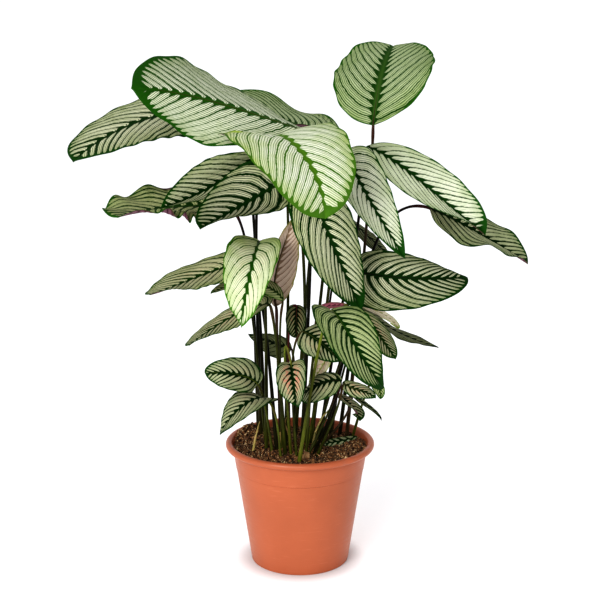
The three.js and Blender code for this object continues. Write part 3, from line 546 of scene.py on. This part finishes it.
def stalk(leaf, start):
    """A tube that rises from the soil, thickens at its joint and runs out under the midrib."""
    low, high = (2.6, 1.7) if leaf["half"] >= LARGE_LEAF else (2.0, 1.3)
    pitch, reach, kernel = 3.2, 0.86, np.exp(-np.linspace(-2, 2, 7) ** 2)
    rise = stalk_points(leaf, np.linspace(0, 1, 90))
    foot = rise[:1] - unit(rise[1] - rise[0]) * ROOT_DEPTH
    u = np.linspace(0.012, reach, 60)
    midrib, _, out = blade_frame(leaf, u)
    midrib = midrib - out * (0.5 + 0.5 * high * (1 - u))[:, None]
    path = np.concatenate([foot, rise[:-1], midrib])
    marks = marks_along(path)
    length, at_base = marks[-1], marks[len(rise)]
    place = np.linspace(0, length, int(length / pitch))
    path = resampled(path, marks, place)
    path[3:-3] = np.stack([
        np.convolve(path[:, j], kernel / kernel.sum(), "valid") for j in range(3)], axis=1)
    share = np.clip(place / at_base, 0, 1)
    before = at_base - place
    radii = low + (high - low) * share
    radii *= 1 + 0.12 / (1 + np.exp((share - 0.42) * 60))
    radii *= 1 + 0.3 * np.exp(-((before - 14) / 11) ** 2)
    radii *= 1 - 0.82 * np.clip(-before / (length - at_base), 0, 1) ** 0.6
    points, faces = tube(path, radii, STALK_SIDES, start)
    joint = np.exp(-((before - 13) / 13) ** 2)
    return points, faces, {
        "height": per_ring(share, STALK_SIDES), "joint": per_ring(joint, STALK_SIDES)}


def blade_finish(name, look, relief):
    """Calathea blade: a thin waxy leaf, grown, so it has a soft satin sheen.

    Dark veins stand in even pitch on a cream ground. They broaden into the midrib band and the tip,
    fine hairlines run between them, and the ground turns green towards the margin. What this gives
    the eye is a crisp striped leaf with no two stripes quite alike.
    """
    young, old, vein_green, margin, nerve = (linear(colour) for colour in look[:5])
    hair_strength = look[5]
    material, shader, node, place = new_material(name)
    vein, dark, ground, blush, rim, midline, tone = (
        node("Attribute", (), "Fac", attribute_name=key)
        for key in ("vein", "dark", "ground", "blush", "rim", "nerve", "tone"))
    # Mottling 3 mm across makes the stripes ragged, and one 17 mm across sways them
    ragged = node("TexNoise", {"Vector": place, "Scale": 330.0, "Detail": 3.0})
    broad = node("TexNoise", {"Vector": place, "Scale": 60.0, "Detail": 2.0})
    sway = node("Math", (broad, 0.34, -0.17), operation="MULTIPLY_ADD")
    swayed = node("Math", (vein, sway))
    gap = node("Math", (swayed, 0.5), operation="PINGPONG")
    wide = node("Math", (gap, 2.0), operation="MULTIPLY")
    rough = node("Math", (ragged, 0.3, -0.15), operation="MULTIPLY_ADD")
    wider = node("Math", (dark, rough))
    beyond = node("Math", (wide, wider), operation="SUBTRACT")
    light = node("MapRange", (beyond, -0.06, 0.1), interpolation_type="SMOOTHSTEP")
    # Three hairlines between two veins
    quarter = node("Math", (swayed, 4.0), operation="MULTIPLY")
    fine = node("Math", (quarter, 0.5), operation="PINGPONG")
    hair = node("MapRange", (fine, 0.09, 0.3, hair_strength, 0.0))
    patch = node("Math", (broad, 0.9, -0.45), operation="MULTIPLY_ADD")
    greener = node("Math", (ground, patch), use_clamp=True)
    tissue = node("Mix", {0: greener, 6: young, 7: old}, data_type="RGBA")
    lined = node("Mix", {0: hair, 6: tissue, 7: vein_green}, data_type="RGBA")
    spots = node("MapRange", (ragged, 0.35, 0.6))
    pinker = node("Math", (blush, spots), operation="MULTIPLY")
    pinked = node("Mix", {0: pinker, 6: lined, 7: linear("#d98f7c")}, data_type="RGBA")
    lines = node("Mix", {0: rim, 6: vein_green, 7: margin}, data_type="RGBA")
    striped = node("Mix", {0: light, 6: lines, 7: pinked}, data_type="RGBA")
    coloured = node("Mix", {0: midline, 6: striped, 7: nerve}, data_type="RGBA")
    # Painted shade and painted light: the colour is multiplied by the leaf's tone
    toned_with_painted_light = node("Mix", {0: 1.0, 6: coloured, 7: tone}, data_type="RGBA", blend_type="MULTIPLY")
    height = node("Math", (ragged, fine))
    bump = node("Bump", {"Strength": relief, "Distance": 0.0004, "Height": height})
    wire(shader, {"Base Color": toned_with_painted_light, "Normal": bump, "Roughness": 0.58, "IOR": 1.33,
                  "Specular IOR Level": 0.1})
    return material


def stalk_finish(name, look):
    """Calathea stalk: a smooth fleshy petiole, grown, glossier than the blade.

    Fine lengthwise streaks and a reddish joint under the blade give it a wet, living look.
    """
    low, middle, high = (linear(colour) for colour in look)
    material, shader, node, place = new_material(name)
    height, joint = (
        node("Attribute", (), "Fac", attribute_name=key) for key in ("height", "joint"))
    # Streaks 1 mm wide and some 25 mm long
    long_way = node("Mapping", {"Vector": place, "Scale": (1.0, 1.0, 0.04)})
    streak = node("TexNoise", {"Vector": long_way, "Scale": 900.0, "Detail": 3.0})
    colours = node("ValToRGB", {"Fac": height})
    ramp = colours.node.color_ramp
    ramp.elements[0].color, ramp.elements[1].color = low, high
    ramp.elements.new(0.45).color = middle
    shade = node("MapRange", (streak, 0.35, 0.7, 0.5, 1.25))
    streaked = node("Mix", {0: 1.0, 6: colours, 7: shade}, data_type="RGBA", blend_type="MULTIPLY")
    some = node("Math", (joint, 0.45), operation="MULTIPLY")
    jointed = node("Mix", {0: some, 6: streaked, 7: linear("#5a2a2e")}, data_type="RGBA")
    bump = node("Bump", {"Strength": 0.35, "Distance": 0.0003, "Height": streak})
    wire(shader, {"Base Color": jointed, "Normal": bump, "Roughness": 0.42, "IOR": 1.35,
                  "Specular IOR Level": 0.2})
    return material


def pot_finish(colour):
    """Polypropylene nursery pot: injection moulded, so it is smooth with a low satin sheen.

    Faint cloudy colour, fine rub marks round the wall and a bloom of dried splashes keep it from
    looking new.
    """
    material, shader, node, place = new_material("moulded_polypropylene")
    # Clouds 70 mm across, specks 2 mm, and rub marks 1.4 mm high and some 25 mm long round the wall
    cloud = node("TexNoise", {"Vector": place, "Scale": 14.0, "Detail": 3.0})
    round_way = node("Mapping", {"Vector": place, "Scale": (0.06, 0.06, 1.0)})
    rub = node("TexNoise", {"Vector": round_way, "Scale": 700.0, "Detail": 4.0})
    speck = node("TexNoise", {"Vector": place, "Scale": 420.0, "Detail": 5.0})
    tone = node("MapRange", (cloud, 0.3, 0.7, 0.94, 1.05))
    body = node("Mix", {0: 1.0, 6: tuple(colour), 7: tone}, data_type="RGBA", blend_type="MULTIPLY")
    worn = node("MapRange", (rub, 0.6, 0.76, 0.0, 0.12))
    rubbed = node("Mix", {0: worn, 6: body, 7: linear("#eda386")}, data_type="RGBA")
    spotted = node("MapRange", (speck, 0.66, 0.72, 0.0, 0.3))
    soiled = node("Mix", {0: spotted, 6: rubbed, 7: linear("#a2553a")}, data_type="RGBA")
    sheen = node("MapRange", (rub, 0.3, 0.7, 0.3, 0.46))
    bump = node("Bump", {"Strength": 0.12, "Distance": 0.0003, "Height": speck})
    wire(shader, {"Base Color": soiled, "Roughness": sheen, "Normal": bump, "IOR": 1.49,
                  "Specular IOR Level": 0.4})
    return material


def peat_finish(name, dark, brown, fleck, share):
    """Peat potting soil: loose, fibrous and damp, so it is dark, matt and flecked with pale."""
    material, shader, node, place = new_material(name)
    # Crumbs 4 mm across, flecks 1.4 mm across
    crumb = node("TexNoise", {"Vector": place, "Scale": 260.0, "Detail": 5.0, "Roughness": 0.65})
    grain = node("TexVoronoi", {"Vector": place, "Scale": 700.0}, "Color")
    tone = node("MapRange", (crumb, 0.4, 0.68))
    body = node("Mix", {0: tone, 6: linear(dark), 7: linear(brown)}, data_type="RGBA")
    pick = node("SeparateColor", (grain,))
    chosen = node("MapRange", (pick, 1 - share, 1.02 - share))
    flecked = node("Mix", {0: chosen, 6: body, 7: linear(fleck)}, data_type="RGBA")
    bump = node("Bump", {"Strength": 0.8, "Distance": 0.0012, "Height": crumb})
    wire(shader, {"Base Color": flecked, "Normal": bump, "Roughness": 0.9})
    return material


def fibre_finish(name, colour, pale):
    """Dry stalk or bark: fibrous, split lengthwise and matt, with pale and dark streaks."""
    material, shader, node, place = new_material(name)
    # Fibres 0.8 mm wide and 6 mm long, blotches 8 mm across
    stretched = node("Mapping", {"Vector": place, "Scale": (1.0, 1.0, 0.12)})
    fibre = node("TexNoise", {"Vector": stretched, "Scale": 1300.0, "Detail": 3.0})
    blotch = node("TexNoise", {"Vector": place, "Scale": 120.0, "Detail": 2.0})
    mixed = node("Math", (fibre, blotch))
    tone = node("MapRange", (mixed, 0.75, 1.3))
    body = node("Mix", {0: tone, 6: linear(colour), 7: linear(pale)}, data_type="RGBA")
    bump = node("Bump", {"Strength": 0.7, "Distance": 0.0005, "Height": fibre})
    wire(shader, {"Base Color": body, "Normal": bump, "Roughness": 0.75})
    return material


def finish(piece, slot, solid=True):
    """The piece rides on the pot's body and stands for its solid if it has one."""
    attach(piece, "root")
    if solid:
        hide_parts(slot)


def grow(names, settings, seed):
    """Build the named leaves, each as one mesh of blade and stalk."""
    sizes = {
        key: getattr(settings, key) / MM for key in ("thickness", "pleat", "furrow", "margin")}
    rng = np.random.default_rng(seed)
    for name in names:
        leaf = LEAVES[name]
        points, faces, slots, attributes = blade(leaf, sizes, rng)
        stem, stem_faces, stem_attributes = stalk(leaf, len(points))
        filled = {key: np.pad(share, (0, len(stem))) for key, share in attributes.items()}
        for key, share in stem_attributes.items():
            filled[key] = np.pad(share, (len(points), 0))
        materials = [
            bpy.data.materials.get(part + key) or make(part + key, looks[key], *relief)
            for part, key, make, looks, *relief in (
                ("blade_", leaf["look"], blade_finish, BLADE_LOOKS, 0.35),
                ("underside_", leaf.get("under", "purple"), blade_finish, UNDER_LOOKS, 0.5),
                ("stalk_", leaf["stalk"], stalk_finish, STALK_LOOKS))]
        piece = add_piece(
            name + "_grown", np.concatenate([points, stem]),
            np.concatenate([faces, stem_faces]), materials,
            np.concatenate([slots, np.full(len(stem_faces), 2)]), filled)
        piece.data.set_sharp_from_angle(angle=math.radians(60))
        finish(piece, name)


def soil_height(x, y):
    """Gentle fall to the back, a mound at the left back, a hollow at the right back, a ripple."""
    mound = 10 * np.exp(-((x + 72) ** 2 + (y - 46) ** 2) / (2 * 15 ** 2))
    hollow = 5 * np.exp(-((x - 36) ** 2 + (y - 66) ** 2) / (2 * 24 ** 2))
    return 168 - 0.033 * y + mound - hollow + 1.3 * np.sin(x / 12 + 1) * np.cos(y / 12)


def pressed(x, y, z, top):
    """Heights cut to the given top within 9 mm of the fallen leaf's midrib, which lies on them."""
    start, end = (np.array(FALLEN_LEAF["spine"][i][:2], float) for i in (0, 3))
    run = end - start
    share = np.clip(((x - start[0]) * run[0] + (y - start[1]) * run[1]) / np.sum(run ** 2), 0, 1)
    away = np.hypot(x - start[0] - share * run[0], y - start[1] - share * run[1])
    return np.where(away < 9, np.minimum(z, top), z)


def value_noise(x, y, pitch, rng):
    """Random heights on a square net of the given pitch, joined smoothly."""
    cells = 64
    net = rng.uniform(-1, 1, (cells, cells))
    gx, gy = x / pitch + cells // 2, y / pitch + cells // 2
    ix, iy = np.floor(gx).astype(int), np.floor(gy).astype(int)
    fx, fy = gx - ix, gy - iy
    fx, fy = fx * fx * (3 - 2 * fx), fy * fy * (3 - 2 * fy)
    ix, iy = ix % (cells - 1), iy % (cells - 1)
    low = net[ix, iy] * (1 - fx) + net[ix + 1, iy] * fx
    high = net[ix, iy + 1] * (1 - fx) + net[ix + 1, iy + 1] * fx
    return low * (1 - fy) + high * fy


def strew(name, places, sizes, material, rng):
    """Twenty-sided crumbs in one piece, each turned at random, stretched and put in its place.

    Their points lie on a ball, at the corners of three crossed golden rectangles.
    """
    g = (1 + math.sqrt(5)) / 2
    corners = unit(np.array([
        [-1, g, 0], [1, g, 0], [-1, -g, 0], [1, -g, 0], [0, -1, g], [0, 1, g],
        [0, -1, -g], [0, 1, -g], [g, 0, -1], [g, 0, 1], [-g, 0, -1], [-g, 0, 1]]))
    faces = np.array([
        [0, 11, 5], [0, 5, 1], [0, 1, 7], [0, 7, 10], [0, 10, 11], [1, 5, 9], [5, 11, 4],
        [11, 10, 2], [10, 7, 6], [7, 1, 8], [3, 9, 4], [3, 4, 2], [3, 2, 6], [3, 6, 8],
        [3, 8, 9], [4, 9, 5], [2, 4, 11], [6, 2, 10], [8, 6, 7], [9, 8, 1]])
    count = len(places)
    turn = np.linalg.qr(rng.normal(size=(count, 3, 3)))[0]
    turn *= np.sign(np.linalg.det(turn))[:, None, None]
    rough = corners * rng.uniform(0.7, 1.3, (count, len(corners), 1))
    points = np.einsum("nij,nkj->nki", turn, rough * sizes[:, None]) + places[:, None]
    faces = faces + (np.arange(count) * len(corners))[:, None, None]
    piece = add_piece(name, points.reshape(-1, 3), faces.reshape(-1, 3), [material], smooth=False)
    finish(piece, "soil", solid=False)


class CalatheaPotSettings(bpy.types.PropertyGroup):
    """Sizes and colour of the pot."""

    height: FloatProperty(
        name="Height", description="From the floor to the top of the rim",
        default=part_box("pot")[1].z, min=0.05, unit="LENGTH")
    rim_radius: FloatProperty(
        name="Rim radius", description="Outside of the rolled rim", default=0.105, unit="LENGTH")
    bead_radius: FloatProperty(
        name="Rim bead", description="Radius of the rolled rim's section", default=0.0048,
        unit="LENGTH")
    foot_radius: FloatProperty(
        name="Foot radius", description="Outside of the foot", default=0.0693, unit="LENGTH")
    wall: FloatProperty(
        name="Wall", description="Thickness of the wall", default=0.0018, unit="LENGTH")
    colour: FloatVectorProperty(
        name="Colour", description="Plastic's own colour", subtype="COLOR", size=4,
        min=0, max=1, default=linear("#af6342"))


class CalatheaLeafSettings(bpy.types.PropertyGroup):
    """Sizes that all leaves share."""

    thickness: FloatProperty(
        name="Blade thickness", description="Thickness of the sheet", default=0.0006, unit="LENGTH")
    pleat: FloatProperty(
        name="Pleat", description="Height of the pleats between side veins", default=0.00035,
        unit="LENGTH")
    furrow: FloatProperty(
        name="Furrow", description="Depth of the furrow along the midrib", default=0.0009,
        unit="LENGTH")
    margin: FloatProperty(
        name="Margin", description="Width of the green margin", default=0.0012, unit="LENGTH")
    seed: IntProperty(name="Seed", description="Start of the random draws", default=7)


class CalatheaSoilSettings(bpy.types.PropertyGroup):
    """Crumbs, flecks and litter of the soil."""

    radius: FloatProperty(
        name="Radius", description="Radius of the soil's surface", default=0.0946, unit="LENGTH")
    crumb: FloatProperty(
        name="Crumb", description="Usual radius of a loose crumb", default=0.0019, unit="LENGTH")
    crumbs: IntProperty(name="Crumbs", description="Number of loose crumbs", default=1500)
    flecks: IntProperty(name="Flecks", description="Number of pale fibres and chips", default=260)
    seed: IntProperty(name="Seed", description="Start of the random draws", default=11)
    litter_seed: IntProperty(
        name="Litter seed", description="Start of the draws for the fallen leaf and the bark",
        default=5)


class CalatheaStageSettings(bpy.types.PropertyGroup):
    """Floor, light and camera."""

    camera_distance: FloatProperty(
        name="Camera distance", description="In front of the pot's middle", default=1.8,
        unit="LENGTH")
    camera_height: FloatProperty(
        name="Camera height", description="Above the floor", default=0.797, unit="LENGTH")
    camera_tilt: FloatProperty(
        name="Camera tilt", description="Downwards from level", default=0.2285, unit="ROTATION")
    light: FloatProperty(name="Light", description="Power of the large soft light", default=50.0)
    sky: FloatProperty(name="Sky", description="Strength of the white room", default=0.58)
    floor: FloatVectorProperty(
        name="Floor", description="Colour of the floor", subtype="COLOR", size=4,
        min=0, max=1, default=linear("#e4e4e6"))


class CALATHEA_OT_set_stage(bpy.types.Operator):
    """Lay a pale floor, hang soft lights and place the camera"""

    bl_idname = "calathea.set_stage"
    bl_label = "Stage"

    def execute(self, context):
        s = context.scene.calathea_stage
        # The floor runs level for six metres and then curves up all round to three metres high
        level, bend, sides = 6.0, 3.0, 96
        turn = np.linspace(0, 0.5 * np.pi, 16)
        run = np.concatenate([[0.001], level + bend * np.sin(turn)])[:, None]
        rise = np.concatenate([[0.0], bend * (1 - np.cos(turn))])[:, None]
        sweep = turned(run, full_turn(sides), rise).reshape(-1, 3) / MM
        paper, shader, node, place = new_material("matt_paper_painted_glow")
        # Painted light: the paper glows to lift it to white. The glow fades out towards the pot's
        # foot, which leaves a darker ring there that is partly the pot's real shadow and partly
        # painted shade
        away = node("VectorMath", (place,), operation="LENGTH")
        painted_glow = node("MapRange", (away, 0.066, 0.1, 0.0, 0.29), interpolation_type="SMOOTHSTEP")
        wire(shader, {"Base Color": tuple(s.floor), "Roughness": 0.95, "Specular IOR Level": 0.1,
                      "Emission Color": linear("#ffffff"), "Emission Strength": painted_glow})
        floor = add_piece("floor", sweep, grid_faces(len(run), sides)[:, ::-1], [paper])

        camera = bpy.data.cameras.new("camera")
        camera.lens = 80.31
        camera.sensor_width = 36.0
        camera.clip_end = 100.0
        view = bpy.data.objects.new("camera", camera)
        view.location = (0, -s.camera_distance, s.camera_height)
        view.rotation_euler = (math.pi / 2 - s.camera_tilt, 0, 0)
        context.scene.collection.objects.link(view)
        context.scene.camera = view

        plant_middle = np.array([0, 0, 0.42])
        for name, place, size, power in (
            ("key", (-1.2, -2.5, 1.3), 1.6, s.light),
            ("rim", (0.6, 1.9, 2.1), 1.4, 0.08 * s.light),
        ):
            lamp = bpy.data.lights.new(name, "AREA")
            lamp.size = size
            lamp.energy = power
            holder = bpy.data.objects.new(name, lamp)
            holder.location = place
            x, y, z = plant_middle - np.array(place)
            holder.rotation_euler = (math.atan2(math.hypot(x, y), -z), 0, math.atan2(-x, y))
            context.scene.collection.objects.link(holder)

        world = bpy.data.worlds.new("white_room")
        world.use_nodes = True
        wire(world.node_tree.nodes["Background"], {"Color": linear("#ffffff"), "Strength": s.sky})
        context.scene.world = world
        context.scene.view_settings.view_transform = "Standard"
        context.scene.view_settings.look = "High Contrast"
        context.scene.view_settings.exposure = -0.1
        return {"FINISHED"}


class CALATHEA_OT_mould_pot(bpy.types.Operator):
    """Turn the pot's profile, chip its rim and open its drain holes"""

    bl_idname = "calathea.mould_pot"
    bl_label = "Pot"

    def execute(self, context):
        s = context.scene.calathea_pot
        height, rim, bead = s.height / MM, s.rim_radius / MM, s.bead_radius / MM
        foot, wall = s.foot_radius / MM, s.wall / MM
        # Radius and height of the ledge below the collar and of the neck under the rim
        step, step_height, neck, neck_height = 90.0, 137.0, 94.0, 160.0
        # Radius of the heel, top of the floor, radius of the floor's inner and outer ring
        heel, floor, inner, outer = 1.5, 3.0, 0.5, 30
        angle = np.radians(np.linspace(-150, 180, 30))
        roll = (rim - bead, height - bead) + bead * np.stack([np.cos(angle), np.sin(angle)], 1)
        low = np.radians(np.linspace(-90, 0, 6))
        rounding = (foot - heel, heel) + heel * np.stack([np.cos(low), np.sin(low)], 1)
        ledge = (step + 0.7, step_height + 1.2)
        outside = np.concatenate([
            [[inner, 0], [outer, 0], [foot - 4, 0]], rounding,
            np.linspace((foot, heel), (step, step_height), 30)[1:],
            [[step - 0.3, step_height + 0.1], [step + 0.6, step_height + 0.5], ledge],
            np.linspace(ledge, (neck, neck_height), 30)[1::3],
            [[neck + 0.2, neck_height + 3], [neck + 0.5, neck_height + 7.6]], roll])
        inside = np.concatenate([
            [[neck - wall + 0.9, neck_height + 6.5], [neck - wall, neck_height + 1.3],
             [ledge[0] - wall, ledge[1]]],
            np.linspace((step - wall, step_height), (foot - wall, floor), 12),
            [[outer, floor], [inner, floor]]])
        profile = np.concatenate([outside, inside])
        sectors = 192
        phi = full_turn(sectors)
        radius, level = (profile[:, j, None] + np.zeros(sectors) for j in range(2))
        # A chip knocked out of the bead at the right front
        away = np.angle(np.exp(1j * (phi - math.radians(38))))
        chip = 1 / (1 + np.exp((np.abs(away) - 0.055) * 90))
        top = np.clip((level - (height - bead)) / bead, 0, 1)
        side = np.clip((radius - (rim - bead)) / bead, 0, 1)
        level = level - 1.5 * chip * top * side
        radius = radius - 1.6 * chip * side * (level > neck_height)
        # Slight out-of-round of a thin moulding
        radius = radius * (1 + 0.0012 * np.cos(2 * phi + 0.6) * (level / height))
        points = turned(radius, phi, level).reshape(-1, 3)
        pot = add_piece("moulded_pot", points, closed_faces(points, len(profile), sectors),
                        [pot_finish(s.colour)])

        # Six drain holes 10 mm wide are cut through the floor
        holes, sides, circle, hole_radius = 6, 24, 48, 5
        hole = circle * np.exp(1j * full_turn(holes))[:, None] + hole_radius * np.exp(
            1j * full_turn(sides))
        bores = np.stack([
            np.stack([hole.real, hole.imag, np.full(hole.shape, z)], -1) for z in (-3.0, 6.0)],
            axis=1).reshape(holes, -1, 3)
        cutter = add_piece("drain_cutter", bores.reshape(-1, 3), np.concatenate([
            closed_faces(bore, 2, sides) + i * len(bore) for i, bore in enumerate(bores)]), [])
        cut = pot.modifiers.new("drain", "BOOLEAN")
        cut.operation = "DIFFERENCE"
        cut.solver = "EXACT"
        cut.object = cutter
        whole = pot.evaluated_get(context.evaluated_depsgraph_get())
        mesh = bpy.data.meshes.new_from_object(whole)
        pot.modifiers.clear()
        pot.data = mesh
        bpy.data.objects.remove(cutter)
        mesh.set_sharp_from_angle(angle=math.radians(40))
        finish(pot, "pot")
        return {"FINISHED"}


class CALATHEA_OT_fill_soil(bpy.types.Operator):
    """Fill the pot with crumbly peat"""

    bl_idname = "calathea.fill_soil"
    bl_label = "Soil"

    def execute(self, context):
        s = context.scene.calathea_soil
        rng = np.random.default_rng(s.seed)
        sectors, rings = 300, 130
        phi = full_turn(sectors)
        edge = s.radius / MM
        radius = edge * np.linspace(1, 0.004, rings)[:, None]
        x, y = polar(radius, phi)
        z = soil_height(x, y)
        # Clods, lumps and grains
        for pitch, height in ((11, 1.3), (6, 1.5), (3.2, 1.4)):
            z = z + height * value_noise(x, y, pitch, rng)
        # Below the rolled rim at the edge, and below the fallen leaf
        z = np.where(radius > edge - 6, np.minimum(z, 173.2), z)
        z = pressed(x, y, z, 167.0)
        # Radius and height down the inside of the pot
        side = np.array([[67.0, 4.0], [67.3, 5.0], [80.4, 90.0], [87.6, 136.0], [91.6, 158.0]])
        points = np.concatenate([
            turned(0.4, phi, 4.0)[None], turned(side[:, :1], phi, side[:, 1:]),
            np.stack([x, y, z], -1)]).reshape(-1, 3)
        faces = closed_faces(points, len(points) // sectors, sectors)
        finish(add_piece("peat", points, faces, [
            peat_finish("damp_peat", "#211206", "#8a6238", "#cdb083", 0.07)]), "soil")

        count = s.crumbs
        far = (edge - 2) * np.sqrt(rng.uniform(0, 1, count))
        turn = rng.uniform(0, 2 * np.pi, count)
        # A tenth of them piled against the rim at the left back
        piled = count // 10
        far[:piled] = rng.normal(edge - 2, 2.5, piled)
        turn[:piled] = rng.normal(math.radians(-122), 0.16, piled)
        x, y = polar(far, turn)
        z = soil_height(x, y) + rng.uniform(-0.6, 1.0, count)
        z[:piled] += rng.uniform(0, 4.5, piled)
        z = pressed(x, y, z, 166.5)
        size = s.crumb / MM * rng.lognormal(0, 0.35, (count, 1)) * rng.uniform(0.7, 1.3, (count, 3))
        strew("loose_crumbs", np.stack([x, y, z], -1), size,
              peat_finish("crumbled_peat", "#26140a", "#a5774b", "#dcc396", 0.09), rng)

        count = s.flecks
        far = (edge - 3) * np.sqrt(rng.uniform(0, 1, count))
        x, y = polar(far, rng.uniform(0, 2 * np.pi, count))
        z = soil_height(x, y) + rng.uniform(0.8, 1.8, count)
        size = np.stack([
            rng.lognormal(0.5, 0.5, count), rng.uniform(0.3, 0.7, count),
            rng.uniform(0.3, 0.7, count)], -1)
        strew("pale_fibres", np.stack([x, y, z], -1), size,
              fibre_finish("wood_fibre", "#a8693a", "#dbb583"), rng)
        return {"FINISHED"}


class CALATHEA_OT_grow_upper_leaves(bpy.types.Operator):
    """Grow the leaves whose blades start above 400 mm"""

    bl_idname = "calathea.grow_upper_leaves"
    bl_label = "Upper leaves"

    def execute(self, context):
        s = context.scene.calathea_leaf
        grow([n for n, leaf in LEAVES.items() if leaf["spine"][0][2] >= 400], s, s.seed)
        return {"FINISHED"}


class CALATHEA_OT_grow_lower_leaves(bpy.types.Operator):
    """Grow the small leaves among the stalks"""

    bl_idname = "calathea.grow_lower_leaves"
    bl_label = "Lower leaves"

    def execute(self, context):
        s = context.scene.calathea_leaf
        grow([n for n, leaf in LEAVES.items() if leaf["spine"][0][2] < 400], s, s.seed + 1)
        return {"FINISHED"}


class CALATHEA_OT_dry_stalks(bpy.types.Operator):
    """Stand the dead stubs and the young shoot in the soil"""

    bl_idname = "calathea.dry_stalks"
    bl_label = "Dry stalks"

    def execute(self, context):
        for name, (points, radii, colour) in DRY_STALKS.items():
            points = np.array(points, float)
            points[0] -= ROOT_DEPTH * unit(points[1] - points[0])
            marks = marks_along(points)
            place = np.linspace(0, marks[-1], 50)
            path = resampled(points, marks, place)
            radius = np.interp(place, marks, radii) * (1 + 0.12 * np.sin(place * 0.9))
            shape, faces = tube(path, radius, STUB_SIDES)
            # Every second line of points lies deeper, which leaves ribs between them
            centre = per_ring(path, STUB_SIDES)
            depth = 0.18 * (np.arange(len(shape)) % 2)
            shape = centre + (shape - centre) * (1 - depth)[:, None]
            piece = add_piece(name + "_fibrous", shape, faces, [
                fibre_finish(name + "_fibre", colour, "#c9ad72")])
            finish(piece, name)
        return {"FINISHED"}


class CALATHEA_OT_soil_litter(bpy.types.Operator):
    """Lay the fallen leaf and the bark pieces on the soil"""

    bl_idname = "calathea.soil_litter"
    bl_label = "Fallen leaf and bark"

    def execute(self, context):
        rng = np.random.default_rng(context.scene.calathea_soil.litter_seed)
        points, faces, slots, attributes = blade(FALLEN_LEAF, FALLEN_LEAF_SIZES, rng)
        dead = blade_finish("blade_fallen", FALLEN_LOOK, 0.5)
        piece = add_piece("fallen_leaf_rolled", points, faces, [dead, dead], slots, attributes)
        finish(piece, "fallen_leaf")

        for name, (path, widths, breadth, colour, pale) in BARK.items():
            path, marks = np.array(path, float), (0, 1, 2)
            place = np.linspace(0, 2, 26)
            middle = resampled(path, marks, place)
            width = np.interp(place, marks, widths) * rng.uniform(0.88, 1.0, len(place))
            shape, faces = tube(middle, np.ones(len(place)), CHIP_SIDES)
            centre = per_ring(middle, CHIP_SIDES)
            # Each ring keeps its half width through the bark and is stretched to the sides
            side = unit(np.cross([1.0, 0, 0], unit(path[2] - path[1])))
            offset = shape - centre
            part = (offset @ side)[:, None] * side
            through = (offset - part) * per_ring(width, CHIP_SIDES)[:, None]
            piece = add_piece(name + "_rough", centre + part * breadth + through, faces, [
                fibre_finish(name + "_fibre", colour, pale)])
            finish(piece, name)
        return {"FINISHED"}


class CALATHEA_PT_panel(bpy.types.Panel):
    """Buttons for each group of pieces"""

    bl_label = "Potted calathea"
    bl_idname = "CALATHEA_PT_panel"
    bl_space_type = "VIEW_3D"
    bl_region_type = "UI"
    bl_category = "Calathea"

    def draw(self, context):
        for operator in OPERATORS:
            self.layout.operator(operator.bl_idname)


SETTINGS = {
    "calathea_pot": CalatheaPotSettings,
    "calathea_leaf": CalatheaLeafSettings,
    "calathea_soil": CalatheaSoilSettings,
    "calathea_stage": CalatheaStageSettings,
}
OPERATORS = (
    CALATHEA_OT_set_stage, CALATHEA_OT_mould_pot, CALATHEA_OT_fill_soil,
    CALATHEA_OT_grow_upper_leaves, CALATHEA_OT_grow_lower_leaves, CALATHEA_OT_dry_stalks,
    CALATHEA_OT_soil_litter,
)


def register():
    for group in SETTINGS.values():
        bpy.utils.register_class(group)
    for operator in OPERATORS:
        bpy.utils.register_class(operator)
    bpy.utils.register_class(CALATHEA_PT_panel)
    for name, group in SETTINGS.items():
        setattr(bpy.types.Scene, name, PointerProperty(type=group))


def unregister():
    for name in SETTINGS:
        delattr(bpy.types.Scene, name)
    bpy.utils.unregister_class(CALATHEA_PT_panel)
    for operator in reversed(OPERATORS):
        bpy.utils.unregister_class(operator)
    for group in reversed(SETTINGS.values()):
        bpy.utils.unregister_class(group)


def main():
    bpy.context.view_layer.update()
    register()
    bpy.ops.calathea.set_stage()
    bpy.ops.calathea.mould_pot()
    bpy.ops.calathea.fill_soil()
    bpy.ops.calathea.grow_upper_leaves()
    bpy.ops.calathea.grow_lower_leaves()
    bpy.ops.calathea.dry_stalks()
    bpy.ops.calathea.soil_litter()


if __name__ == "__main__":
    main()
